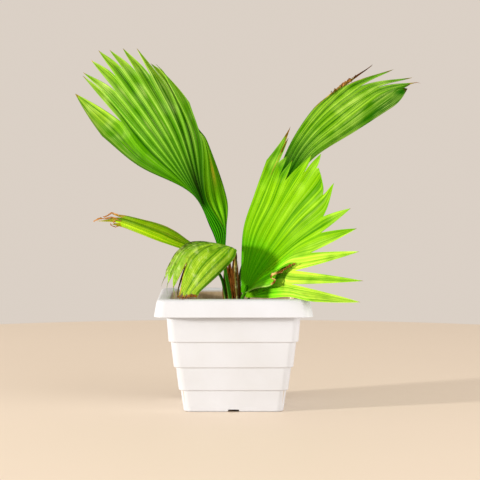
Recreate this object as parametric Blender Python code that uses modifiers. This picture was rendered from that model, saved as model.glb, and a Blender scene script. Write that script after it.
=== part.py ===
"""A young chinese fan palm in a square white plastic pot.

Units are metres and +Z is up. The origin is at the centre of the pot's foot,
and the pot's front faces -Y. Every frond is one solid: a pleated fan of
pointed segments joined to its stalk, which stands in a hole in the soil.
"""

import math

import bmesh
import bpy
from mathutils import Vector

MM = 0.001

# Gap between pieces that touch in the real plant
GAP = 0.3 * MM

# Pot, in millimetres: height, half widths at the rim and at the foot
POT_HEIGHT = 102.0
RIM_DROP = 15.4
RIM_HALF_TOP = 67.6
RIM_HALF_LOW = 70.0
OPENING_HALF = 57.0
SKIRT_WALL = 2.2
CORNER = 9.0
CORNER_STEPS = 5
FLOOR = 5.0
INNER_HALF_LOW = 42.0
INNER_HALF_HIGH = 55.2
# Each tier of the body: its lower height, then half widths at its lower and upper edge
TIERS = ((0.0, 44.6, 46.9), (19.4, 48.7, 51.0), (40.2, 53.0, 55.4), (63.2, 57.4, 59.7))
NOTCH_LOW = 12.0
NOTCH_HIGH = 9.0
NOTCH_RISE = 2.2
NOTCH_REACH = 26.0
DRAIN_DIAMETER = 7.0
DRAIN_OFFSET = 22.0

# Soil
SOIL_TOP = 82.0
STEM_FOOT = 52.0

# Fronds
BLADE_THICK = 0.7
PLEAT = 0.34
EDGE_BULGE = 0.12
ROWS = (2, 3, 3, 3)
FREE_ROWS = 4
STALK_SIDES = 10

# Every frond is laid out by lines that cross its pleats, from the stalk to the notches.
# A line's point is how far across the fan it lies, from 0 to 1, then x, y and z in
# millimetres. Tips and notches follow from one margin to the other, and the first and the
# last notch are where the margins turn in to the outer tips.
TALL = {
    "lines": (
        ((0.0, -13.5, 2, 142), (1.0, -7.5, 4, 142)),
        ((0.0, -20.5, -0.5, 160.5), (0.45, -14.5, -1.5, 160.5), (1.0, -6.5, 3, 160.5)),
        (
            (0.0, -37.5, -1, 192.5), (0.35, -33, -6.5, 191.5), (0.7, -27, -3.5, 190.5),
            (0.8, -25, -1.2, 190.5), (1.0, -6, 2, 187.5),
        ),
        (
            (0.0, -85, -2, 217.5), (0.08, -81, -6, 230), (0.15, -77, -9, 238),
            (0.35, -65.5, -12.5, 248.5), (0.55, -49, -11.5, 251), (0.7, -36.5, -6.5, 247.5),
            (0.77, -29.5, -3, 238.5), (0.82, -27.5, 6, 239), (1.0, -23.5, 9, 239),
        ),
    ),
    "tips": (
        (-144, 14, 283), (-136.5, 8, 299), (-136, 5, 302), (-128.5, 1, 313),
        (-121.5, -3, 321.5), (-111.5, -5, 322), (-99.5, -5, 323.5), (-87, -3, 323.5),
        (-74.5, -2, 310), (-70, 1, 309.5), (-50, 12, 278), (-46, 14, 272),
        (-39, 14, 264),
    ),
    "notches": (
        (-118.5, 7, 244.5), (-100, -3, 257), (-113, -3, 280.5), (-105.5, -6, 284.5),
        (-105, -7, 297.5), (-98.5, -8.5, 303.5), (-87.5, -9, 302), (-74, -7, 297.5),
        (-55.5, -5, 282.5), (-61.5, -2, 298.5), (-41, 0, 274.5), (-42, 11, 258),
        (-36, 12, 252), (-31, 11.5, 250),
    ),
    "stalk": (
        (-15, 1.5, 154, 1.0), (-10.5, 3, 144, 1.5), (-9.5, 1, 136, 1.6),
        (-7.5, -3, 123.5, 1.6), (-3, -6, 97.5, 1.7), (-2.5, -6.5, 86, 1.8),
        (-2.5, -6.5, STEM_FOOT, 1.8),
    ),
}
FRONT = {
    "lines": (
        ((0.0, 7, -7, 104), (1.0, 11.5, -9, 99)),
        (
            (0.0, 7, -5.5, 131), (0.15, 10.5, -7, 131), (0.3, 14.5, -8.5, 129.5),
            (0.46, 20, -10.5, 127), (0.6, 23.5, -12.5, 121.5), (0.72, 23.5, -14, 117),
            (0.85, 21, -15, 111.5), (1.0, 20, -17, 99.5),
        ),
        (
            (0.0, 9.2, -6, 162), (0.15, 16.3, -9, 160), (0.3, 23.5, -12, 157),
            (0.46, 34, -16, 153), (0.6, 41, -20, 141.5), (0.72, 40.5, -22.5, 131),
            (0.85, 33, -24, 119.5), (0.93, 31.5, -28, 112), (1.0, 33, -33, 100.5),
        ),
        (
            (0.0, 18.5, -7, 191), (0.15, 27.5, -11, 187), (0.3, 37, -15, 183),
            (0.46, 51, -21, 181), (0.6, 58, -27, 158), (0.72, 56, -31, 143.5),
            (0.85, 45, -36, 126), (0.93, 43, -43, 114), (1.0, 50, -54, 103.2),
        ),
    ),
    "tips": (
        (51, -8, 252.5), (49, -10, 242), (48, -13, 226.5), (52.5, -15, 222.5),
        (69.5, -20, 227.5), (78, -26, 229), (76, -30, 215.5), (89, -36, 203),
        (103.5, -44, 181), (108.5, -50, 163.5), (110.5, -57, 143.5), (113.5, -67, 118.5),
        (110, -80, 101),
    ),
    "notches": (
        (30, -7, 223), (31.5, -10, 204), (39.5, -12, 219), (41, -14, 208),
        (46.5, -17, 204.5), (61.5, -23, 209.5), (74, -27, 216), (79.5, -32, 192),
        (79.5, -37, 173), (77.5, -42, 159), (68.5, -46, 141.5), (54, -50, 126),
        (50.5, -57, 115), (68.5, -78, 101.6),
    ),
    "stalk": (
        (12.5, -10, 110, 1.2), (9.5, -8, 102, 1.6), (8, -7, 97.5, 1.7),
        (7.5, -6.5, 86, 1.8), (7.5, -6.5, STEM_FOOT, 1.8),
    ),
}

# A withered flap hangs from one pleat of the front frond: the pleat's number, then the
# place along it and the point of the flap's free edge for each line down the flap
FLAP_PLEAT = 21
FLAP = (
    (1, 10.5, -10.8, 103.2), (2, 15, -17, 105.7), (3, 18.8, -23.5, 107.9),
    (4, 25, -33.5, 110.1), (5, 31, -43, 111.9), (6, 34.5, -47, 114.5),
    (7, 36, -48, 122.5), (8, 41.5, -49, 128.2), (9, 54, -46, 132.4),
)
FLAP_BULGE = 1.4
UPPER = {
    "lines": (
        ((0.0, 26, 14, 179), (1.0, 31.5, 16, 175)),
        ((0.0, 38, 14, 206), (1.0, 50.5, 10, 195.5)),
        ((0.0, 53.5, 15, 241), (0.5, 64, 13, 234.5), (1.0, 73, 8, 224.5)),
        (
            (0.0, 72.5, 19, 269), (0.35, 84.5, 20, 264), (0.7, 98, 17.5, 256),
            (1.0, 111.5, 11, 249),
        ),
    ),
    "tips": (
        (126.5, 24, 308.5), (147, 30, 305.5), (164.5, 30, 298), (168, 26, 293.5),
        (162, 20, 292), (158.5, 17, 287.5),
    ),
    "notches": (
        (88, 22, 282.5), (102, 24, 290), (116.5, 26, 290), (131, 26.5, 288),
        (129.5, 23, 282), (144.5, 18, 282.5), (145.5, 14, 271),
    ),
    "stalk": (
        (33.5, 15, 186, 0.9), (27, 15, 174, 1.2), (19.5, 14, 154, 1.2),
        (8.2, 9, 126.5, 1.3), (5.4, 8, 112, 1.4), (6.5, 7.5, 97, 1.5),
        (6.8, 7, 86, 1.6), (6.8, 7, STEM_FOOT, 1.6),
    ),
}
DROOPING = {
    "lines": (
        ((0.0, -2, -5.5, 144.2), (1.0, 2.2, -7.8, 141.2)),
        (
            (0.0, -19, -17.5, 149), (0.43, -11, -17, 147.3), (0.7, -4, -14, 145.1),
            (1.0, 3, -9.3, 141.5),
        ),
        (
            (0.0, -37.7, -42, 151.4), (0.2, -32.7, -42, 149.9), (0.43, -26.8, -42.5, 146.9),
            (0.57, -19.4, -38, 143.8), (0.71, -12, -30, 140.5), (0.86, -4.5, -19, 136.6),
            (1.0, 0.5, -11, 133.4),
        ),
        (
            (0.0, -50.2, -54, 143.3), (0.25, -44.2, -55, 142.8), (0.43, -37.7, -55, 139.8),
            (0.57, -31.8, -52, 133.2), (0.71, -26.4, -44, 127), (0.86, -19.5, -30.5, 123),
            (1.0, -11, -13.5, 120.9),
        ),
    ),
    "tips": (
        (-59.8, -61, 119.9), (-57.3, -62.5, 115.9), (-52.9, -64, 111.8), (-47.9, -65, 104.3),
        (-43.4, -64, 103.7), (-38.4, -58.5, 103), (-33.2, -47, 101.6),
    ),
    "notches": (
        (-58.3, -60, 129.4), (-56.8, -61.5, 125.9), (-52.4, -62.5, 125.3), (-40.8, -58, 134.5),
        (-43.4, -63.5, 109.4), (-40, -60, 108.2), (-36, -52.5, 107.6), (-28.6, -34, 106.2),
    ),
    "stalk": (
        (-5, -8.5, 144.8, 0.8), (0, -6.8, 142.3, 1.2), (2, -6.5, 137, 1.2),
        (2, -6.5, 132, 1.2), (1.5, -5, 123.5, 1.2), (3, -4.5, 100, 1.3), (3, -4.5, 86, 1.3),
        (3, -4.5, STEM_FOOT, 1.3),
    ),
}
LOW = {
    "lines": (
        ((0.0, -27, 10, 141), (1.0, -29.5, 8, 136.5)),
        ((0.0, -39, 12, 148), (0.5, -42.5, 7, 144.5), (1.0, -48, 9, 142)),
        ((0.0, -53, 13, 158), (0.5, -57, 5, 150), (1.0, -60, 9, 146)),
        ((0.0, -67, 14, 164.5), (0.5, -69.5, 5, 155.5), (1.0, -71.5, 9, 150)),
    ),
    "tips": (
        (-110.5, 10, 173.5), (-118, 8, 169), (-124, 5, 167.5), (-110.5, 6, 164.5),
    ),
    "notches": (
        (-94.5, 13, 171.5), (-100.5, 11, 170), (-105, 7, 168), (-102, 6, 165),
        (-98, 8, 160.5),
    ),
    "stalk": (
        (-35, 9, 143, 0.9), (-28, 8.5, 138, 1.2), (-22, 7, 130, 1.3),
        (-11.3, 4, 116.5, 1.4), (-7.5, 1, 99.5, 1.5), (-7, 0.5, 86, 1.6),
        (-7, 0.5, STEM_FOOT, 1.6),
    ),
}
OLD_STALK = (
    (19, 4, 108, 0.7), (16.5, 3, 103, 1.0), (14, 2.5, 98, 1.1), (12.5, 2, 86, 1.2),
    (12.5, 2, STEM_FOOT, 1.2),
)

# Old leaf bases in the crown: foot x and y, top x, y and z, width and thickness
SHEATHS = (
    (-1.5, 3.2, -4.5, 3.8, 124, 4.5, 1.5),
    (0.5, 2.6, 0.5, 2.2, 136, 6.0, 1.8),
    (2.2, 1.8, 1.8, 0.8, 139.5, 5.0, 1.6),
    (3.0, 3.1, 4.6, 3.2, 116, 4.4, 1.4),
    (1.0, 4.6, 1.5, 6.5, 128, 5.0, 1.4),
)
SHEATH_FOOT = 86.0
SHEATH_CORE = (4.4, 3.0)
SHEATH_CENTRE = (0.4, 3.1)
SHEATH_CORE_TOP = 99.0


def clear_scene():
    for obj in list(bpy.data.objects):
        bpy.data.objects.remove(obj, do_unlink=True)


def make_collection(name, hidden=False):
    collection = bpy.data.collections.new(name)
    bpy.context.scene.collection.children.link(collection)
    collection.hide_render = hidden
    return collection


def make_material(name, colour, roughness, metallic=0.0):
    material = bpy.data.materials.new(name)
    material.use_nodes = True
    shader = material.node_tree.nodes["Principled BSDF"]
    shader.inputs["Base Color"].default_value = (*colour, 1.0)
    shader.inputs["Roughness"].default_value = roughness
    shader.inputs["Metallic"].default_value = metallic
    return material


def add_object(name, mesh, collection, material=None):
    obj = bpy.data.objects.new(name, mesh)
    collection.objects.link(obj)
    if material:
        mesh.materials.clear()
        mesh.materials.append(material)
    return obj


def mesh_from_bmesh(name, bm):
    bmesh.ops.recalc_face_normals(bm, faces=bm.faces)
    mesh = bpy.data.meshes.new(name)
    bm.to_mesh(mesh)
    bm.free()
    return mesh


def apply_modifiers(obj):
    """Makes the shape that the modifiers give the object's own mesh."""
    bpy.context.view_layer.update()
    graph = bpy.context.evaluated_depsgraph_get()
    mesh = bpy.data.meshes.new_from_object(obj.evaluated_get(graph))
    obj.modifiers.clear()
    obj.data = mesh


def as_cutter(obj):
    obj.hide_render = True
    obj.display_type = "WIRE"


def boolean(obj, other, operation):
    modifier = obj.modifiers.new(other.name, "BOOLEAN")
    modifier.operation = operation
    modifier.solver = "EXACT"
    modifier.object = other
    return modifier


def merge_into(obj, others):
    """Joins the others to the object as one body, and removes them."""
    for other in others:
        boolean(obj, other, "UNION")
    apply_modifiers(obj)
    for other in others:
        bpy.data.objects.remove(other, do_unlink=True)


def keep_outer_shell(obj):
    """Fills what the joining sealed, and drops scraps: only the largest shell stays."""
    bm = bmesh.new()
    bm.from_mesh(obj.data)
    bm.faces.ensure_lookup_table()
    left = set(bm.faces)
    shells = []
    while left:
        shell = set()
        waiting = [left.pop()]
        while waiting:
            face = waiting.pop()
            shell.add(face)
            for edge in face.edges:
                for other in edge.link_faces:
                    if other in left:
                        left.remove(other)
                        waiting.append(other)
        shells.append(shell)
    shells.sort(key=len)
    for shell in shells[:-1]:
        bmesh.ops.delete(bm, geom=list(shell), context="FACES")
    bm.to_mesh(obj.data)
    bm.free()


def hermite(knots, at):
    """A smooth line through knots, each its place from 0 to 1 and then a point."""
    places = [knot[0] for knot in knots]
    points = [Vector(knot[1:]) for knot in knots]
    if len(knots) == 2:
        return points[0].lerp(points[1], at)
    slopes = []
    for i in range(len(knots)):
        low = max(i - 1, 0)
        high = min(i + 1, len(knots) - 1)
        slopes.append((points[high] - points[low]) / (places[high] - places[low]))
    i = 0
    while i < len(knots) - 2 and at > places[i + 1]:
        i += 1
    span = places[i + 1] - places[i]
    t = (at - places[i]) / span
    return (
        points[i] * (2 * t**3 - 3 * t**2 + 1)
        + slopes[i] * span * (t**3 - 2 * t**2 + t)
        + points[i + 1] * (3 * t**2 - 2 * t**3)
        + slopes[i + 1] * span * (t**3 - t**2)
    )


def along(points, steps):
    """A smooth line through the points, with the given steps in each span."""
    places = [0.0]
    for first, second in zip(points, points[1:]):
        places.append(places[-1] + math.sqrt((second - first).length))
    knots = [(place, *point) for place, point in zip(places, points)]
    line = [points[0].copy()]
    for i, count in enumerate(steps):
        for step in range(1, count + 1):
            at = places[i] + (places[i + 1] - places[i]) * step / count
            line.append(hermite(knots, at))
    return line


def fan_rays(frond):
    """The margins, midribs and joints of the fan, and the free part of each midrib."""
    count = len(frond["tips"])
    notches = [Vector(point) for point in frond["notches"]]
    tips = [Vector(point) for point in frond["tips"]]
    rays = []
    free = []
    for k in range(2 * count + 1):
        across = k / (2 * count)
        points = [hermite(line, across) for line in frond["lines"]]
        if k % 2 == 0:
            rays.append(along(points + [notches[k // 2]], ROWS))
            continue
        segment = k // 2
        root = (notches[segment] + notches[segment + 1]) / 2
        line = along(points + [root, tips[segment]], (*ROWS, FREE_ROWS))
        rays.append(line[: sum(ROWS) + 1])
        free.append(line[sum(ROWS) :])
    return rays, free


def pleated(rays):
    """The same rays, with joints raised and midribs sunk to either side of the fan."""
    last = len(rays) - 1
    folded = []
    for k, ray in enumerate(rays):
        line = []
        for j, point in enumerate(ray):
            left = rays[max(k - 1, 0)][j]
            right = rays[min(k + 1, last)][j]
            across = right - left
            up = ray[min(j + 1, len(ray) - 1)] - ray[max(j - 1, 0)]
            normal = across.cross(up).normalized()
            pitch = across.length / (2 if 0 < k < last else 1)
            rise = PLEAT * pitch * min(1.0, j / 3)
            line.append(point + normal * (rise if k % 2 == 0 else -rise) / 2)
        folded.append(line)
    return folded


def blade_mesh(name, frond):
    """The fan as a sheet of triangles, split alike on both faces once it is thick."""
    rays, free = fan_rays(frond)
    sunk = pleated(rays)
    bm = bmesh.new()
    grid = [[bm.verts.new(point * MM) for point in ray] for ray in sunk]
    for k in range(len(grid) - 1):
        left = grid[k]
        right = grid[k + 1]
        for j in range(len(left) - 1):
            split_quad(bm, left[j], right[j], right[j + 1], left[j + 1], k % 2)
    for segment, middle in enumerate(free):
        k = 2 * segment + 1
        tip = bm.verts.new(middle[-1] * MM)
        sides = [free_edge(sunk[k + side][-1], middle, FREE_ROWS) for side in (-1, 1)]
        drop = sunk[k][-1] - middle[0]
        left = [grid[k - 1][-1]]
        right = [grid[k + 1][-1]]
        centre = [grid[k][-1]]
        for step in range(1, FREE_ROWS):
            rib = middle[step] + drop * (1 - step / FREE_ROWS)
            centre.append(bm.verts.new(rib * MM))
            left.append(bm.verts.new(sides[0][step] * MM))
            right.append(bm.verts.new(sides[1][step] * MM))
        for step in range(FREE_ROWS - 1):
            split_quad(bm, left[step], centre[step], centre[step + 1], left[step + 1], 1)
            split_quad(bm, centre[step], right[step], right[step + 1], centre[step + 1], 0)
        bm.faces.new((left[-1], centre[-1], tip))
        bm.faces.new((centre[-1], right[-1], tip))
    mesh = bpy.data.meshes.new(name)
    bm.to_mesh(mesh)
    bm.free()
    return mesh


def free_edge(notch, middle, rows):
    """The edge of a segment from its notch to its tip, bent as its midrib is."""
    root = middle[0]
    tip = middle[-1]
    way = (tip - root).normalized()
    out = (notch - root) - way * (notch - root).dot(way)
    edge = []
    for step in range(rows + 1):
        share = step / rows
        bend = middle[step] - root.lerp(tip, share)
        bulge = out * EDGE_BULGE * 4 * share * (1 - share)
        edge.append(notch.lerp(tip, share) + bend + bulge)
    return edge


def split_quad(bm, a, b, c, d, leaning):
    if leaning:
        bm.faces.new((a, b, c))
        bm.faces.new((a, c, d))
    else:
        bm.faces.new((a, b, d))
        bm.faces.new((b, c, d))


def stalk_object(name, points, collection):
    """A round stalk through the points, each x, y, z and radius in millimetres."""
    curve = bpy.data.curves.new(name, "CURVE")
    curve.dimensions = "3D"
    curve.bevel_depth = 1.0
    curve.bevel_resolution = (STALK_SIDES - 4) // 2
    curve.use_fill_caps = True
    spline = curve.splines.new("POLY")
    centres = [Vector(point[:3]) for point in points]
    line = along(centres, [2] * (len(points) - 2) + [1])
    spline.points.add(len(line) - 1)
    for i, point in enumerate(line):
        span = min(i // 2, len(points) - 2)
        share = i / 2 - span if i < len(line) - 1 else 1.0
        radius = points[span][3] * (1 - share) + points[span + 1][3] * share
        spline.points[i].co = (*(point * MM), 1.0)
        spline.points[i].radius = radius * MM
    made = bpy.data.objects.new(name, curve)
    collection.objects.link(made)
    bpy.context.view_layer.update()
    graph = bpy.context.evaluated_depsgraph_get()
    mesh = bpy.data.meshes.new_from_object(made.evaluated_get(graph))
    place = made.matrix_world.copy()
    bpy.data.objects.remove(made, do_unlink=True)
    bpy.data.curves.remove(curve)
    bm = bmesh.new()
    bm.from_mesh(mesh)
    bmesh.ops.remove_doubles(bm, verts=bm.verts, dist=1e-6)
    bmesh.ops.recalc_face_normals(bm, faces=bm.faces)
    bm.to_mesh(mesh)
    bm.free()
    obj = bpy.data.objects.new(name, mesh)
    obj.matrix_world = place
    collection.objects.link(obj)
    return obj


def flap_mesh(frond):
    """A sheet that hangs from one pleat of the fan, its upper edge sunk in the blade."""
    pleat = pleated(fan_rays(frond)[0])[FLAP_PLEAT]
    rows = []
    for place, x, y, z in FLAP:
        free = Vector((x, y, z))
        root = pleat[place]
        out = (free - root).normalized()
        top = root - out * BLADE_THICK * 0.6
        middle = top.lerp(free, 0.5) + Vector((0, -FLAP_BULGE, 0))
        rows.append((top, middle, free))
    bm = bmesh.new()
    grid = [[bm.verts.new(point * MM) for point in row] for row in rows]
    for first, second in zip(grid, grid[1:]):
        for i in range(2):
            split_quad(bm, first[i], second[i], second[i + 1], first[i + 1], i)
    mesh = bpy.data.meshes.new("flap")
    bm.to_mesh(mesh)
    bm.free()
    return mesh


def thicken(obj):
    solid = obj.modifiers.new("Thickness", "SOLIDIFY")
    solid.thickness = BLADE_THICK * MM
    solid.offset = 0.0
    solid.use_even_offset = True
    solid.use_quality_normals = True
    apply_modifiers(obj)


def frond_object(name, frond, collection, material):
    mesh = blade_mesh(name, frond)
    obj = add_object(name, mesh, collection, material)
    thicken(obj)
    joined = [stalk_object(name + "_stalk", frond["stalk"], collection)]
    if frond is FRONT:
        flap = add_object("flap", flap_mesh(frond), collection)
        thicken(flap)
        joined.append(flap)
    merge_into(obj, joined)
    keep_outer_shell(obj)
    obj.data.materials.clear()
    obj.data.materials.append(material)
    return obj


def square_ring(bm, z, half, radius):
    """Points of a square with round corners, going round from the front right."""
    ring = []
    for corner in range(4):
        turn = math.pi / 2 * corner
        for step in range(CORNER_STEPS + 1):
            angle = -math.pi / 2 + turn + math.pi / 2 * step / CORNER_STEPS
            cx = (half - radius) * (1, 1, -1, -1)[corner]
            cy = (half - radius) * (-1, 1, 1, -1)[corner]
            x = cx + radius * math.cos(angle)
            y = cy + radius * math.sin(angle)
            ring.append(bm.verts.new((x * MM, y * MM, z * MM)))
    return ring


def loft(name, sections):
    """A closed solid through rings, each given by its height, half width and corner."""
    bm = bmesh.new()
    rings = [square_ring(bm, *section) for section in sections]
    for low, high in zip(rings, rings[1:]):
        for i in range(len(low)):
            k = (i + 1) % len(low)
            bm.faces.new((low[i], low[k], high[k], high[i]))
    bm.faces.new(reversed(rings[0]))
    bm.faces.new(rings[-1])
    return mesh_from_bmesh(name, bm)


def pot_sections():
    """The pot's wall in section, from the foot up the outside and down the inside."""
    body = CORNER - 1.5
    sections = [(0.0, 42.2, body - 2.0), (0.5, 43.6, body - 1.0), (1.8, 44.5, body)]
    for index, (low, half_low, half_high) in enumerate(TIERS):
        high = TIERS[index + 1][0] if index + 1 < len(TIERS) else POT_HEIGHT - RIM_DROP
        if index:
            sections.append((low - 0.1, half_low - 1.2, body))
            sections.append((low + 0.5, half_low - 0.1, body))
            sections.append((low + 1.2, half_low, body))
        if index + 1 < len(TIERS):
            sections.append((high - 0.9, half_high, body))
            sections.append((high - 0.2, half_high + 0.1, body))
        else:
            sections.append((high, half_high, body))
    under = POT_HEIGHT - SKIRT_WALL
    low = POT_HEIGHT - RIM_DROP
    sections += [
        (under, 60.2, body),
        (under - 0.2, RIM_HALF_TOP - SKIRT_WALL - 0.6, CORNER - 1.5),
        (low, RIM_HALF_LOW - SKIRT_WALL + 0.2, CORNER - 1.0),
        (low - 0.3, RIM_HALF_LOW - 0.5, CORNER + 0.6),
        (low + 0.3, RIM_HALF_LOW, CORNER + 1.0),
        (POT_HEIGHT - 2.4, RIM_HALF_TOP, CORNER),
        (POT_HEIGHT - 0.9, RIM_HALF_TOP - 0.7, CORNER - 0.5),
        (POT_HEIGHT - 0.15, RIM_HALF_TOP - 2.0, CORNER - 1.0),
        (POT_HEIGHT, RIM_HALF_TOP - 3.4, CORNER - 1.5),
        (POT_HEIGHT, OPENING_HALF + 1.6, CORNER - 2.5),
        (POT_HEIGHT - 0.6, OPENING_HALF + 0.4, CORNER - 3.0),
        (POT_HEIGHT - 2.0, OPENING_HALF, CORNER - 3.0),
        (POT_HEIGHT - RIM_DROP, INNER_HALF_HIGH, CORNER - 3.5),
        (FLOOR + 1.2, INNER_HALF_LOW, CORNER - 4.0),
        (FLOOR, INNER_HALF_LOW - 1.2, CORNER - 5.0),
    ]
    return sections


def foot_cutter(turn, collection):
    """A drain channel that opens at the foot, with a round hole at its inner end."""
    bm = bmesh.new()
    faces = []
    for y in (-NOTCH_REACH * 2, -DRAIN_OFFSET):
        ring = [
            bm.verts.new((-NOTCH_LOW / 2 * MM, y * MM, -1 * MM)),
            bm.verts.new((NOTCH_LOW / 2 * MM, y * MM, -1 * MM)),
            bm.verts.new((NOTCH_HIGH / 2 * MM, y * MM, NOTCH_RISE * MM)),
            bm.verts.new((-NOTCH_HIGH / 2 * MM, y * MM, NOTCH_RISE * MM)),
        ]
        faces.append(ring)
    for i in range(4):
        k = (i + 1) % 4
        bm.faces.new((faces[0][i], faces[0][k], faces[1][k], faces[1][i]))
    bm.faces.new(reversed(faces[0]))
    bm.faces.new(faces[1])
    obj = add_object(f"channel_{turn}", mesh_from_bmesh("channel", bm), collection)
    obj.rotation_euler = (0, 0, math.pi / 2 * turn)
    as_cutter(obj)
    return obj


def round_cutter(name, x, y, low, high, radius, collection, sides=24, stretch=(1, 1)):
    bm = bmesh.new()
    bmesh.ops.create_cone(
        bm, cap_ends=True, segments=sides, radius1=radius * MM, radius2=radius * MM,
        depth=(high - low) * MM,
    )
    obj = add_object(name, mesh_from_bmesh(name, bm), collection)
    obj.location = (x * MM, y * MM, (low + high) / 2 * MM)
    obj.scale = (stretch[0], stretch[1], 1)
    as_cutter(obj)
    return obj


def build_pot(collection, cutters):
    pot = add_object(
        "pot",
        loft("pot", pot_sections()),
        collection,
        make_material("white_plastic", (0.86, 0.84, 0.82), 0.42),
    )
    for turn in range(4):
        boolean(pot, foot_cutter(turn, cutters), "DIFFERENCE")
        angle = math.pi / 2 * turn
        x = DRAIN_OFFSET * math.sin(angle)
        y = -DRAIN_OFFSET * math.cos(angle)
        drain = round_cutter(
            f"drain_{turn}", x, y, -2, FLOOR + 2, DRAIN_DIAMETER / 2, cutters
        )
        boolean(pot, drain, "DIFFERENCE")
    apply_modifiers(pot)
    return pot


def soil_height(x, y):
    """The uneven surface of the soil, in millimetres above its mean."""
    waves = math.sin(0.16 * x + 0.9) * math.cos(0.14 * y - 0.4)
    ripples = math.sin(0.33 * x - 0.27 * y) * 0.5
    mound = 2.0 * math.exp(-(x * x + y * y) / 900.0)
    return waves + ripples + mound - 1.0


def build_soil(collection, cutters, stems):
    """The filling of the pot, clear of the wall, with a hole for each stem."""
    slope = (INNER_HALF_HIGH - INNER_HALF_LOW) / (POT_HEIGHT - RIM_DROP - FLOOR - 1.2)
    clear = GAP / MM * 1.05
    low = FLOOR + clear
    half_low = INNER_HALF_LOW - 1.2 - clear
    half_high = INNER_HALF_LOW + slope * (SOIL_TOP - FLOOR - 1.2) - clear
    sections = [
        (low, half_low, 3.5),
        (FLOOR + 1.6, INNER_HALF_LOW - clear, 4.5),
        (SOIL_TOP - 1.5, half_high - slope * 1.5, 5.0),
        (SOIL_TOP - 0.5, half_high - 0.6, 4.6),
    ]
    bm = bmesh.new()
    rings = [square_ring(bm, *section) for section in sections]
    for under, over in zip(rings, rings[1:]):
        for i in range(len(under)):
            k = (i + 1) % len(under)
            bm.faces.new((under[i], under[k], over[k], over[i]))
    bm.faces.new(reversed(rings[0]))
    top = rings[-1]
    steps = 6
    middle = Vector((0, 0, 0))
    inner = top
    for step in range(1, steps):
        share = 1 - step / steps
        ring = []
        for vert in top:
            x = vert.co.x * share / MM
            y = vert.co.y * share / MM
            z = SOIL_TOP + soil_height(x, y) * min(1.0, step / 2)
            ring.append(bm.verts.new((x * MM, y * MM, z * MM)))
        for i in range(len(top)):
            k = (i + 1) % len(top)
            bm.faces.new((inner[i], inner[k], ring[k], ring[i]))
        inner = ring
    peak = bm.verts.new((0, 0, (SOIL_TOP + soil_height(0, 0)) * MM))
    for i in range(len(inner)):
        bm.faces.new((inner[i], inner[(i + 1) % len(inner)], peak))
    bmesh.ops.triangulate(bm, faces=bm.faces)
    soil = add_object(
        "soil",
        mesh_from_bmesh("soil", bm),
        collection,
        make_material("potting_soil", (0.055, 0.034, 0.02), 0.95),
    )
    for index, (x, y, radius) in enumerate(stems):
        hole = round_cutter(
            f"hole_{index}", x, y, STEM_FOOT - GAP / MM, SOIL_TOP + 12,
            radius + GAP / MM * 1.1, cutters, sides=16,
        )
        boolean(soil, hole, "DIFFERENCE")
    hole = round_cutter(
        "hole_sheaths", *SHEATH_CENTRE, STEM_FOOT - GAP / MM, SOIL_TOP + 12, 1.0,
        cutters, sides=20,
        stretch=tuple(size + GAP / MM * 1.3 for size in SHEATH_CORE),
    )
    boolean(soil, hole, "DIFFERENCE")
    apply_modifiers(soil)
    return soil


def strip_mesh(foot, top, width, thick):
    """A flat pointed strip between two points, oval in section."""
    bm = bmesh.new()
    levels = ((0.0, 0.8), (0.35, 1.0), (0.75, 0.9), (0.95, 0.55))
    rings = []
    for share, size in levels:
        centre = foot.lerp(top, share)
        ring = []
        for i in range(8):
            angle = math.pi / 4 * i
            x = centre.x + width / 2 * size * math.cos(angle)
            y = centre.y + thick / 2 * size * math.sin(angle)
            ring.append(bm.verts.new((x * MM, y * MM, centre.z * MM)))
        rings.append(ring)
    for low, high in zip(rings, rings[1:]):
        for i in range(8):
            k = (i + 1) % 8
            bm.faces.new((low[i], low[k], high[k], high[i]))
    bm.faces.new(reversed(rings[0]))
    point = bm.verts.new(top * MM)
    for i in range(8):
        bm.faces.new((rings[-1][i], rings[-1][(i + 1) % 8], point))
    return mesh_from_bmesh("strip", bm)


def build_sheaths(collection):
    """The brown remains of old leaf bases, standing as one tuft in the crown."""
    core = round_cutter(
        "leaf_sheaths", *SHEATH_CENTRE, STEM_FOOT, SHEATH_CORE_TOP, 1.0, collection,
        sides=16, stretch=SHEATH_CORE,
    )
    core.hide_render = False
    core.display_type = "TEXTURED"
    material = make_material("dry_sheath", (0.13, 0.065, 0.025), 0.85)
    core.data.materials.append(material)
    strips = []
    for index, (x, y, tx, ty, tz, width, thick) in enumerate(SHEATHS):
        foot = Vector((x, y, SHEATH_FOOT))
        mesh = strip_mesh(foot, Vector((tx, ty, tz)), width, thick)
        strips.append(add_object(f"strip_{index}", mesh, collection))
    merge_into(core, strips)
    core.data.materials.clear()
    core.data.materials.append(material)
    return core


def main():
    clear_scene()
    palm = make_collection("potted_fan_palm")
    cutters = make_collection("cutters", hidden=True)
    build_pot(palm, cutters)
    fronds = (
        ("frond_tall", TALL, (0.10, 0.36, 0.02)),
        ("frond_front", FRONT, (0.28, 0.68, 0.01)),
        ("frond_upper", UPPER, (0.14, 0.46, 0.02)),
        ("frond_drooping", DROOPING, (0.32, 0.56, 0.08)),
        ("frond_low", LOW, (0.20, 0.50, 0.02)),
    )
    for name, frond, colour in fronds:
        frond_object(name, frond, palm, make_material(name + "_green", colour, 0.38))
    old = stalk_object("old_stalk", OLD_STALK, palm)
    old.data.materials.append(make_material("dry_stalk", (0.05, 0.025, 0.012), 0.8))
    build_sheaths(palm)
    stems = [
        (frond["stalk"][-1][0], frond["stalk"][-1][1], frond["stalk"][-1][3])
        for _, frond, _ in fronds
    ]
    stems.append((OLD_STALK[-1][0], OLD_STALK[-1][1], OLD_STALK[-1][3]))
    build_soil(palm, cutters, stems)


main()
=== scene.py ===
import math
import random

import bmesh
import bpy
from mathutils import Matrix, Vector, noise


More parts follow.
